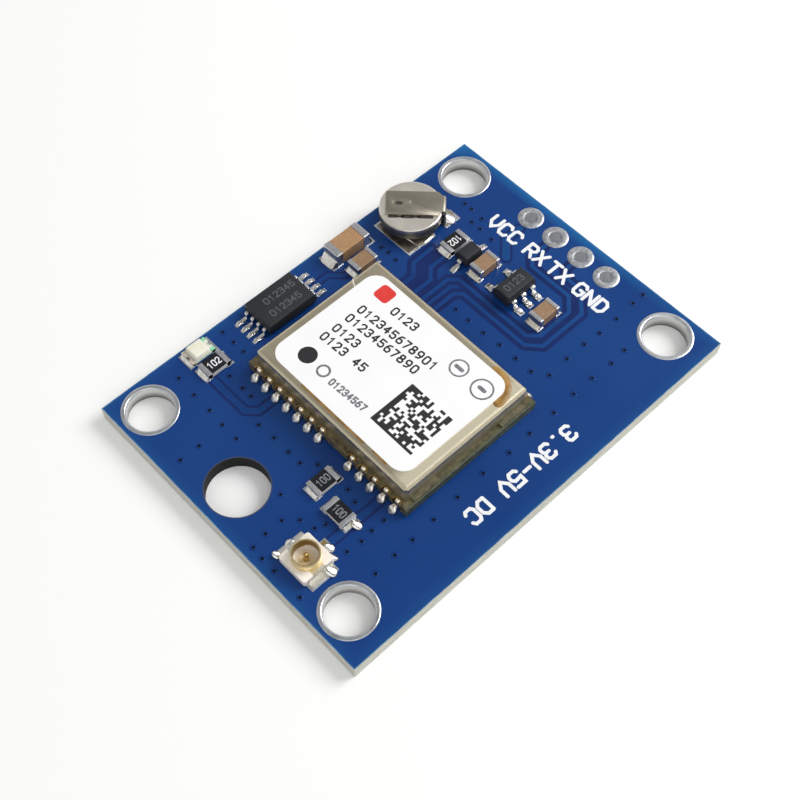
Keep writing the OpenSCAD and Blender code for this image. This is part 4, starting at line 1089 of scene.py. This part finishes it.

# Marks of the cell's welding: a painted shadow line along the upper tab's edge, scorch on its weld, stain on
# the lower pad
TAB_EDGE = np.array([(7.379, 11.022), (10.134, 8.268)])
TAB_SHADOW_OUT = 0.11
# Stretches of the painted shadow line: start and end along the edge, and width
TAB_SHADOW = [(0.3, 0.8, 0.24), (0.9, 1.25, 0.16), (1.3, 1.95, 0.28), (2.05, 2.5, 0.18), (2.55, 3.45, 0.26)]
WELD_MARK = ((8.86, 11.08), (0.27, 0.17), -45)
STAIN = ((7.4, 9.85), (0.8, 3.6), 0.1)
# The painted shadow line, the weld crust and the stain start this far below what they lie on, and the line
# and the stain stand this high
MARK_SINK = 0.004
MARK_H = 0.012
WELD_H = 0.006
STAIN_EDGE = 0.03


def mark_welds():
    """A ragged dark line along the upper tab's edge, painted as the shadow under it, and an oval crust on
    its weld, as thin strokes and a plate; the stain is a thin plate that leaves the lower pad's bright rim
    free."""
    middle, radii, turn = WELD_MARK
    spin = np.radians(turn)
    turned_axes = np.array([(np.cos(spin), np.sin(spin)), (-np.sin(spin), np.cos(spin))])
    oval = np.array(middle) + (arc((0, 0), 1.0, 0, 345, 24) * radii) @ turned_axes
    along = np.diff(TAB_EDGE, axis=0)[0] / np.linalg.norm(np.diff(TAB_EDGE, axis=0))
    # Painted shadow: dark strokes along the upper tab's edge, where it stands off the cell
    line = TAB_EDGE[0] + TAB_SHADOW_OUT * np.array([along[1], -along[0]])
    crust = [stroke([line + start * along, line + end * along], width,
                    CELL_TOP - MARK_SINK, CELL_TOP + MARK_H) for start, end, width in TAB_SHADOW]
    crust.append(slab(oval, TAB_TOP - MARK_SINK, TAB_TOP + WELD_H))
    make_piece("weld_scorch_and_tab_shadow", crust, "burnt_flux_and_painted_shadow", soft=False)
    stain = slab(rounded(*STAIN), PAD_TOP - MARK_SINK, PAD_TOP + MARK_H, STAIN_EDGE)
    make_piece("cell_pad_stain", [stain], "stained_tin", soft=False)


mark_welds()

# Tracks and vias of the carrier board, as route points on its top in millimetres
TRACK_W = 0.27
TRACK_H = 0.02
GAP_H = 0.004
GAP_STEP = 0.0006
TRACK_SLOPE = 0.03
SIGNAL_TRACKS = {
    "cell": (0.36, [(4.15, 6.38), (5.83, 6.38), (6.7, 7.24), (8.6, 7.3)]),
    "charge": (0.36, [(4.15, 5.25), (6.5, 5.25), (7.3, 6.07), (8.9, 6.07)]),
    "receive": (0.34, [(4.15, 4.42), (7.45, 4.42), (8.05, 3.8), (8.05, -2.95), (8.75, -3.67),
                      (11.75, -3.67), (12.8, -2.65), (12.8, 1.0), (13.4, 1.6), (14.9, 1.67)]),
    "transmit": (0.34, [(4.15, 3.2), (6.87, 3.2), (7.36, 2.7), (7.36, -3.4), (8.25, -4.4), (12.3, -4.4),
                       (13.85, -2.85), (13.85, -1.4), (14.4, -0.87), (14.9, -0.87)]),
}
WIDE_TRACKS = {
    "supply": (0.55, [(14.7, 4.1), (13.25, 4.1), (11.95, 2.85)]),
    "light": (0.45, [(-10.55, 9.4), (-10.55, 6.0), (-9.85, 5.32), (-8.6, 5.32)]),
    "antenna": (0.5, [(-13.1, -5.45), (-8.6, -5.45)]),
    "memory": (0.3, [(0.2, 10.75), (1.3, 10.75), (2.2, 9.85), (2.9, 9.85)]),
}
WIDE_GAP = 0.2
# Wider etched field between two tracks
ETCHED = (1.05, [(4.15, 5.82), (6.15, 5.82), (7.0, 6.66), (8.6, 6.7)])


def lay_tracks():
    """Raised tracks, each with a navy gap on both sides where the copper round it was etched away."""
    lines = [(TRACK_W, gap, path) for gap, path in SIGNAL_TRACKS.values()]
    lines += [(width, WIDE_GAP, path) for width, path in WIDE_TRACKS.values()]
    gaps = [stroke(path, width + 2 * gap, BOARD_TOP - GAP_H, BOARD_TOP + GAP_H + number * GAP_STEP)
            for number, (width, gap, path) in enumerate(lines)]
    gaps.append(stroke(ETCHED[1], ETCHED[0], BOARD_TOP - GAP_H, BOARD_TOP + GAP_H / 2))
    tops = [stroke(path, width, BOARD_TOP - GAP_H, BOARD_TOP + TRACK_H, TRACK_SLOPE)
            for width, _, path in lines]
    make_piece("track_gaps", gaps, "mask_over_laminate", soft=False)
    make_piece("copper_tracks", tops, "mask_over_copper", soft=False)


lay_tracks()

# Middles of the vias
VIAS = [
    (6.0, -0.7), (6.1, -2.2), (6.1, -3.8), (6.1, -5.3), (6.8, -6.4), (8.7, -6.3), (10.5, -6.3), (12.0, -6.4),
    (13.8, -6.4), (15.7, -6.3), (16.8, -6.3), (4.8, -8.7), (6.9, -8.6), (8.8, -8.6), (10.7, -8.7),
    (12.2, -8.6), (5.9, 9.9), (6.0, 9.2), (5.9, 8.3), (13.4, 8.6), (13.4, 7.9), (12.5, 7.0), (13.3, 6.7),
    (12.5, 6.1), (12.4, 4.8), (6.0, 2.1), (6.0, 0.8), (-12.2, 11.2), (-12.3, 9.4), (-12.3, 7.7),
    (-12.4, 6.2), (-12.4, 4.7), (-16.2, 6.0), (-14.6, 6.0), (-10.6, 4.5), (-10.5, 3.0), (-10.5, 1.5),
    (-10.5, 0.3), (-9.5, 8.9), (-9.5, 7.5), (-9.5, 6.6), (-7.5, 12.1), (-7.5, 10.9), (-7.5, 9.8),
    (-13.0, -0.6), (-9.7, -0.6), (-14.2, -2.1), (-15.6, -2.1), (-16.8, -2.3), (-16.9, -3.3), (-16.9, -4.5),
    (-16.9, -7.0), (-13.3, -2.9), (-13.0, -4.0), (-9.5, -3.4), (-9.8, -4.4), (-12.3, -4.3), (-12.6, -6.7),
    (-11.4, -6.8), (-10.4, -6.7), (-9.3, -6.7), (-10.5, -9.0), (-8.9, -9.0), (-6.9, -8.9), (-12.3, -9.1),
    (-4.6, -8.8), (-2.1, -8.7), (0.3, -8.8), (2.4, -8.7),
]
VIA_PROFILE = [(0.0, 0.002), (0.11, 0.002), (0.14, 0.011), (0.2, 0.013), (0.26, 0.0), (0.0, -0.002)]
VIA_SIDES = 16


def sink_vias():
    """A via's mask: a pit, a low rim and a foot, turned round. It shows on both faces of the board."""
    profile = np.array(VIA_PROFILE)
    radial = np.append(profile[:-1, 0] / profile[:, 0].max(), 0.0)
    faces = ((1, BOARD_TOP), (-1, 0.0))
    grids = [turned(profile * (1, up) + (0, z), via, VIA_SIDES) for via in VIAS for up, z in faces]
    uv = np.stack([np.repeat(radial, VIA_SIDES), np.zeros(len(profile) * VIA_SIDES)], 1)
    make_piece("via_pits", grids, "via_mask", uv=np.tile(uv, (len(grids), 1)))


sink_vias()

# Legend letters as pen lines in a box one wide and one high
LETTERS = {
    "V": [[(0, 1), (0, 0.42), (0.5, 0), (1, 0.42), (1, 1)]],
    "C": [[(1, 0.82), (0.8, 1), (0.2, 1), (0, 0.8), (0, 0.2), (0.2, 0), (0.8, 0), (1, 0.18)]],
    "R": [[(0, 0), (0, 1)], [(0, 1), (0.75, 1), (1, 0.82), (1, 0.62), (0.75, 0.46), (0, 0.46)],
          [(0.5, 0.46), (1, 0)]],
    "X": [[(0, 0), (1, 1)], [(0, 1), (1, 0)]],
    "T": [[(0, 1), (1, 1)], [(0.5, 1), (0.5, 0)]],
    "G": [[(1, 0.82), (0.8, 1), (0.2, 1), (0, 0.8), (0, 0.2), (0.2, 0), (0.8, 0), (1, 0.2), (1, 0.46),
           (0.6, 0.46)]],
    "N": [[(0, 0), (0, 1)], [(0, 1), (1, 0)], [(1, 0), (1, 1)]],
    "D": [[(0, 0), (0, 1)], [(0, 1), (0.65, 1), (1, 0.75), (1, 0.25), (0.65, 0), (0, 0)]],
    "0": [[(0.5, 1), (0.2, 1), (0, 0.8), (0, 0.2), (0.2, 0), (0.5, 0)],
          [(0.5, 0), (0.8, 0), (1, 0.2), (1, 0.8), (0.8, 1), (0.5, 1)]],
    "1": [[(0.15, 0.78), (0.55, 1), (0.55, 0)]],
    "2": [[(0, 0.8), (0.2, 1), (0.8, 1), (1, 0.8), (1, 0.62), (0, 0)], [(0, 0), (1, 0)]],
    "3": [[(0, 0.85), (0.2, 1), (0.8, 1), (1, 0.85), (1, 0.65), (0.8, 0.52), (0.4, 0.52)],
          [(0.8, 0.52), (1, 0.38), (1, 0.15), (0.8, 0), (0.2, 0), (0, 0.15)]],
    "4": [[(0.72, 0), (0.72, 1)], [(0.72, 1), (0, 0.32)], [(0, 0.32), (1, 0.32)]],
    "5": [[(1, 1), (0.05, 1), (0, 0.55), (0.75, 0.6), (1, 0.42), (1, 0.18), (0.8, 0), (0.2, 0), (0, 0.15)]],
    "6": [[(0.85, 1), (0.3, 0.9), (0, 0.5), (0, 0.2), (0.2, 0), (0.5, 0)],
          [(0.5, 0), (0.8, 0), (1, 0.2), (1, 0.38), (0.8, 0.56), (0.05, 0.56)]],
    "7": [[(0, 1), (1, 1)], [(1, 1), (0.35, 0)]],
    "8": [[(0.5, 0.53), (0.12, 0.63), (0.08, 0.85), (0.25, 1), (0.5, 1)],
          [(0.5, 1), (0.75, 1), (0.92, 0.85), (0.88, 0.63), (0.5, 0.53)],
          [(0.5, 0.53), (0, 0.38), (0, 0.15), (0.2, 0), (0.5, 0)],
          [(0.5, 0), (0.8, 0), (1, 0.15), (1, 0.38), (0.5, 0.53)]],
    "9": [[(0.15, 0), (0.7, 0.1), (1, 0.5), (1, 0.8), (0.8, 1), (0.5, 1)],
          [(0.5, 1), (0.2, 1), (0, 0.8), (0, 0.62), (0.2, 0.44), (0.95, 0.44)]],
    "-": [[(0.1, 0.5), (0.9, 0.5)]],
    " ": [],
    ".": [[(0.45, 0.0), (0.55, 0.0)]],
}
# Ink starts a little below what it is printed on and stands this high
INK_SINK = 0.002
INK_H = 0.006
# Crossing lines of a letter end at slightly different heights, so that their tops never coincide
LINE_STEP = 0.0015


def letter_strokes(text, start, right, up, size, pitch, pen, low, high):
    """Pen lines of a row of letters: each letter's box goes size along right and up, one pitch apart."""
    right, up = np.array(right, float), np.array(up, float)
    grids = []
    for place, letter in enumerate(text):
        corner = np.array(start) + place * pitch * right
        for number, line in enumerate(LETTERS[letter]):
            u, v = np.array(line, float).T
            path = corner + u[:, None] * size[0] * right + v[:, None] * size[1] * up
            grids.append(stroke(path, pen, low, high + number * LINE_STEP))
    return grids


# White legend: the pins beside the header holes, reading along -Y, and the supply range near the front
# edge, reading along -X
LEGEND_LETTER = (0.72, 1.1)
LEGEND_PITCH = 1.02
LEGEND_PEN = 0.25
PIN_BASE_X = 13.28
PIN_STARTS = {"VCC": 6.1, "RX": 2.42, "TX": 0.12, "GND": -2.5}
SUPPLY_TEXT = "3.3V-5V DC"
SUPPLY_START = (4.7, -9.95)
LEGEND_LOW = BOARD_TOP - INK_SINK
LEGEND_HIGH = BOARD_TOP + TRACK_H + 0.008


def print_legend():
    """The names of the four header pins and the supply range in white ink."""
    style = (LEGEND_LETTER, LEGEND_PITCH, LEGEND_PEN, LEGEND_LOW, LEGEND_HIGH)
    grids = letter_strokes(SUPPLY_TEXT, SUPPLY_START, (-1, 0), (0, -1), *style)
    for text, start in PIN_STARTS.items():
        grids += letter_strokes(text, (PIN_BASE_X, start), (0, -1), (1, 0), *style)
    make_piece("legend", grids, "white_legend_ink", soft=False)


print_legend()

# Value codes on the resistors
CODE_LETTER = (0.24, 0.5)
CODE_PITCH = 0.36
CODE_PEN = 0.085
RESISTOR_CODES = {
    "fresh_codes": ("white_legend_ink", {
        "light_resistor_coat": ("102", (1, 0)),
        "charge_resistor_coat": ("102", (-1, 0)),
    }),
    "worn_codes": ("worn_code_ink", {
        "feed_resistor_coat": ("100", (1, 0)),
        "line_resistor_coat": ("100", (0, -1)),
    }),
}


def print_codes():
    """Three-figure resistance codes, centred on each resistor's coat."""
    for name, (ink, codes) in RESISTOR_CODES.items():
        grids = []
        for node, (text, right) in codes.items():
            low, high = box_mm(node)
            right = np.array(right)
            up = np.array([-right[1], right[0]])
            length = (len(text) - 1) * CODE_PITCH + CODE_LETTER[0]
            start = (low + high)[:2] / 2 - right * length / 2 - up * CODE_LETTER[1] / 2
            grids += letter_strokes(text, start, right, up, CODE_LETTER, CODE_PITCH, CODE_PEN,
                                    high[2] - INK_SINK, high[2] + INK_H)
        make_piece(name, grids, ink, soft=False)


print_codes()

# Generic print: rows of plain running figures, a spot, rings, a red field and a block pattern. A row is the
# height of its foot on the label's X, the Y where it starts, and its figures
PRINT_LOW = LABEL_TOP - INK_SINK
PRINT_HIGH = LABEL_TOP + INK_H
FIGURE_SIZE = (0.37, 0.62)
FIGURE_PITCH = 0.615
FIGURE_PEN = 0.13
LABEL_ROWS = [
    (1.15, 3.84, "0123"),
    (-0.42, 5.55, "012345678901"),
    (-1.51, 5.6, "01234567890"),
    (-2.73, 5.6, "0123"),
    (-3.81, 5.67, "0123 45"),
]
FAINT_ROW = (-5.85, 2.48, "01234567")
FAINT_SIZE = (0.25, 0.48)
FAINT_PITCH = 0.42
# The print sits a few degrees askew on the label
PRINT_RIGHT = (0.055, -0.998)
PRINT_UP = (0.998, 0.055)
PIN_ONE_SPOT = ((-5.36, 5.14), 0.69)
RED_FIELD = ((1.98, 5.26), 1.3)
RED_CORNER = 0.3
LABEL_RINGS = [((1.42, -2.72), 0.66, 0.13), ((1.34, -4.98), 0.78, 0.13), ((-5.44, 3.44), 0.44, 0.16)]
RING_BARS = [[(1.42, -2.45), (1.42, -3.0)], [(1.34, -4.75), (1.34, -5.2)]]
RING_BAR_W = 0.3
BLOCK_LOW = (-5.65, -5.35)
BLOCK_SIZE = 3.9
BLOCK_CELLS = 18
BLOCK_SEED = 11


def print_label():
    """Figures, spot, field and rings as thin plates of ink on the label."""
    style = (FIGURE_SIZE, FIGURE_PITCH, FIGURE_PEN, PRINT_LOW, PRINT_HIGH)
    words = [grid for x, y, figures in LABEL_ROWS
             for grid in letter_strokes(figures, (x, y), PRINT_RIGHT, PRINT_UP, *style)]
    middle, radius = PIN_ONE_SPOT
    spot = turned([(0, PRINT_LOW), (radius, PRINT_LOW), (radius, PRINT_HIGH), (0, PRINT_HIGH)], middle, 48)
    middle, side = RED_FIELD
    field = slab(rounded(middle, (side, side), RED_CORNER), PRINT_LOW, PRINT_HIGH)
    make_piece("label_words", words + [spot], "black_print", soft=False)
    make_piece("label_red_field", [field], "red_print", soft=False)
    marks = [ring(*shape, PRINT_LOW, PRINT_HIGH) for shape in LABEL_RINGS]
    marks += [stroke(path, RING_BAR_W, PRINT_LOW, PRINT_HIGH) for path in RING_BARS]
    x, y, figures = FAINT_ROW
    marks += letter_strokes(figures, (x, y), PRINT_RIGHT, PRINT_UP, FAINT_SIZE, FAINT_PITCH, FIGURE_PEN,
                            PRINT_LOW, PRINT_HIGH)
    make_piece("label_rings", marks, "grey_print", soft=False)


print_label()


def print_blocks():
    """A square of scattered blocks from a seeded throw, with two full sides: plain texture, no code."""
    dark = np.random.default_rng(BLOCK_SEED).random((BLOCK_CELLS, BLOCK_CELLS)) < 0.5
    dark[:, -1] = True
    dark[0, :] = True
    pitch = BLOCK_SIZE / BLOCK_CELLS
    middles = np.array(BLOCK_LOW) + (np.argwhere(dark) + 0.5) * pitch
    square = np.array([(-1, -1), (1, -1), (1, 1), (-1, 1)]) * pitch * 0.5
    grids = [slab(middle + square, PRINT_LOW, PRINT_HIGH) for middle in middles]
    make_piece("label_blocks", grids, "black_print", soft=False)


print_blocks()

# Plain figures lasered on the chips: node, start of the row on its top, reading direction, figures
LASER_SIZE = (0.31, 0.5)
LASER_PITCH = 0.47
LASER_PEN = 0.1
LASER_ROWS = [
    ("memory_body", (-4.1, 11.1), (1, 0), "012345"),
    ("memory_body", (-4.4, 10.0), (1, 0), "012345"),
    ("regulator_body", (9.2, 0.08), (1, 0), "0123"),
]


def mark_chips():
    """Rows of plain figures on the moulded chips."""
    grids = []
    for node, start, right, figures in LASER_ROWS:
        top = box_mm(node)[1][2]
        up = (-right[1], right[0])
        grids += letter_strokes(figures, start, right, up, LASER_SIZE, LASER_PITCH, LASER_PEN,
                                top - INK_SINK, top + INK_H)
    make_piece("chip_marks", grids, "laser_mark", soft=False)


mark_chips()

# Adhesive pressed out along the label's edges: path on the can's top and width
GLUE_SINK = 0.005
GLUE_H = 0.03
GLUE_SLOPE = 0.05
GLUE_LINES = [
    ([(LABEL_LOW[0] - 0.04, 3.6), (LABEL_LOW[0] - 0.05, 0.4), (LABEL_LOW[0] - 0.03, -2.5)], 0.16),
    ([(LABEL_LOW[0] - 0.02, -3.4), (LABEL_LOW[0] - 0.05, -4.7)], 0.14),
    ([(3.1, -4.5), (3.06, -5.2), (2.78, -5.86), (2.2, -6.3), (1.4, -6.46)], 0.64),
]


def press_glue():
    """Thin beads along the label, as strokes with sloping sides."""
    grids = [stroke(smooth(path, 12), width, CAN_HIGH[2] - GLUE_SINK, CAN_HIGH[2] + GLUE_H, GLUE_SLOPE)
             for path, width in GLUE_LINES]
    make_piece("label_glue", grids, "amber_glue")


press_glue()

# A scrape on the can's top behind the label
SCRAPE = [(1.26, 7.82), (1.05, 7.54), (0.9, 7.21)]
SCRAPE_W = 0.09
SCRAPE_H = 0.004


def scrape_can():
    """A short bright line of bare metal, as a thin stroke."""
    line = stroke(smooth(SCRAPE, 10), SCRAPE_W, CAN_HIGH[2] - SCRAPE_H, CAN_HIGH[2] + SCRAPE_H)
    make_piece("can_scrape", [line], "scraped_sheet", soft=False)


scrape_can()

# Light, floor and background
WHITE = 1.0
HORIZON = 0.8
OVERHEAD = 0.336
SKY_LOW, SKY_HIGH = 0.25, 0.85
DIFFUSE_LEVEL = 0.48
LAMPS = {"key": ((0.28, -0.10, 0.26), 0.22, 1.1), "fill": ((-0.2, -0.25, 0.3), 0.4, 0.42)}


def light_scene():
    """A soft key from the header end, a wide fill opposite, and a pale sky that greys towards the top."""
    for name, (at, size, watts) in LAMPS.items():
        data = bpy.data.lights.new(name, "AREA")
        data.size = size
        data.energy = watts
        lamp = bpy.data.objects.new(name, data)
        away = np.array(at) / np.linalg.norm(at)
        across = np.cross((0, 0, 1), away)
        across /= np.linalg.norm(across)
        lamp.matrix_world = stance(across, np.cross(away, across), away, at)
        bpy.context.scene.collection.objects.link(lamp)

    world = bpy.data.worlds.new("sky")
    bpy.context.scene.world = world
    tree = empty_tree(world)
    direction = add(tree, "TexCoord", {}).node.outputs["Generated"]
    height = add(tree, "SeparateXYZ", {0: direction}).node.outputs["Z"]
    shade = add(tree, "MapRange", {"Value": height, 1: SKY_LOW, 2: SKY_HIGH, 3: HORIZON, 4: OVERHEAD})
    straight, seen = seen_rays(tree)
    level = add(tree, "MapRange", {"Value": seen, 3: DIFFUSE_LEVEL, 4: shade})
    level = add(tree, "MapRange", {"Value": straight, 3: level, 4: WHITE})
    sky = add(tree, "Background", {"Color": "#ffffff", "Strength": level})
    add(tree, "OutputWorld", {"Surface": sky})


light_scene()

TABLE_HALF = 1.5
TABLE_DROP = 0.03 * MM
TABLE_LIFT = 0.07
FADE_START, FADE_END = 0.09, 0.4


def lay_floor():
    """A pale table under the board. Camera and gloss rays see it lifted a little, and fully to white
    far from the board; its shadow stays."""
    corners = np.array([(-1, -1, 0), (1, -1, 0), (1, 1, 0), (-1, 1, 0)]) * TABLE_HALF - (0, 0, TABLE_DROP)
    mesh = bpy.data.meshes.new("table")
    mesh.from_pydata(corners.tolist(), [], [(0, 1, 2, 3)])
    material = bpy.data.materials.new("pale_table")
    tree = empty_tree(material)
    plain = add(tree, "BsdfDiffuse", {"Color": "#f6f6f5"})
    place = add(tree, "TexCoord", {}).node.outputs["Object"]
    lift = add(tree, "MapRange", {"Value": from_axis(tree, place, (0, 0)), 1: FADE_START, 2: FADE_END,
                                  3: TABLE_LIFT, 4: WHITE})
    glow = add(tree, "Emission", {"Color": "#ffffff", "Strength": lift})
    lifted = add(tree, "AddShader", {0: plain, 1: glow})
    _, seen = seen_rays(tree)
    add(tree, "OutputMaterial", {"Surface": add(tree, "MixShader", {0: seen, 1: plain, 2: lifted})})
    mesh.materials.append(material)
    floor = bpy.data.objects.new("table", mesh)
    bpy.context.scene.collection.objects.link(floor)


lay_floor()

bpy.context.scene.view_settings.view_transform = "Standard"
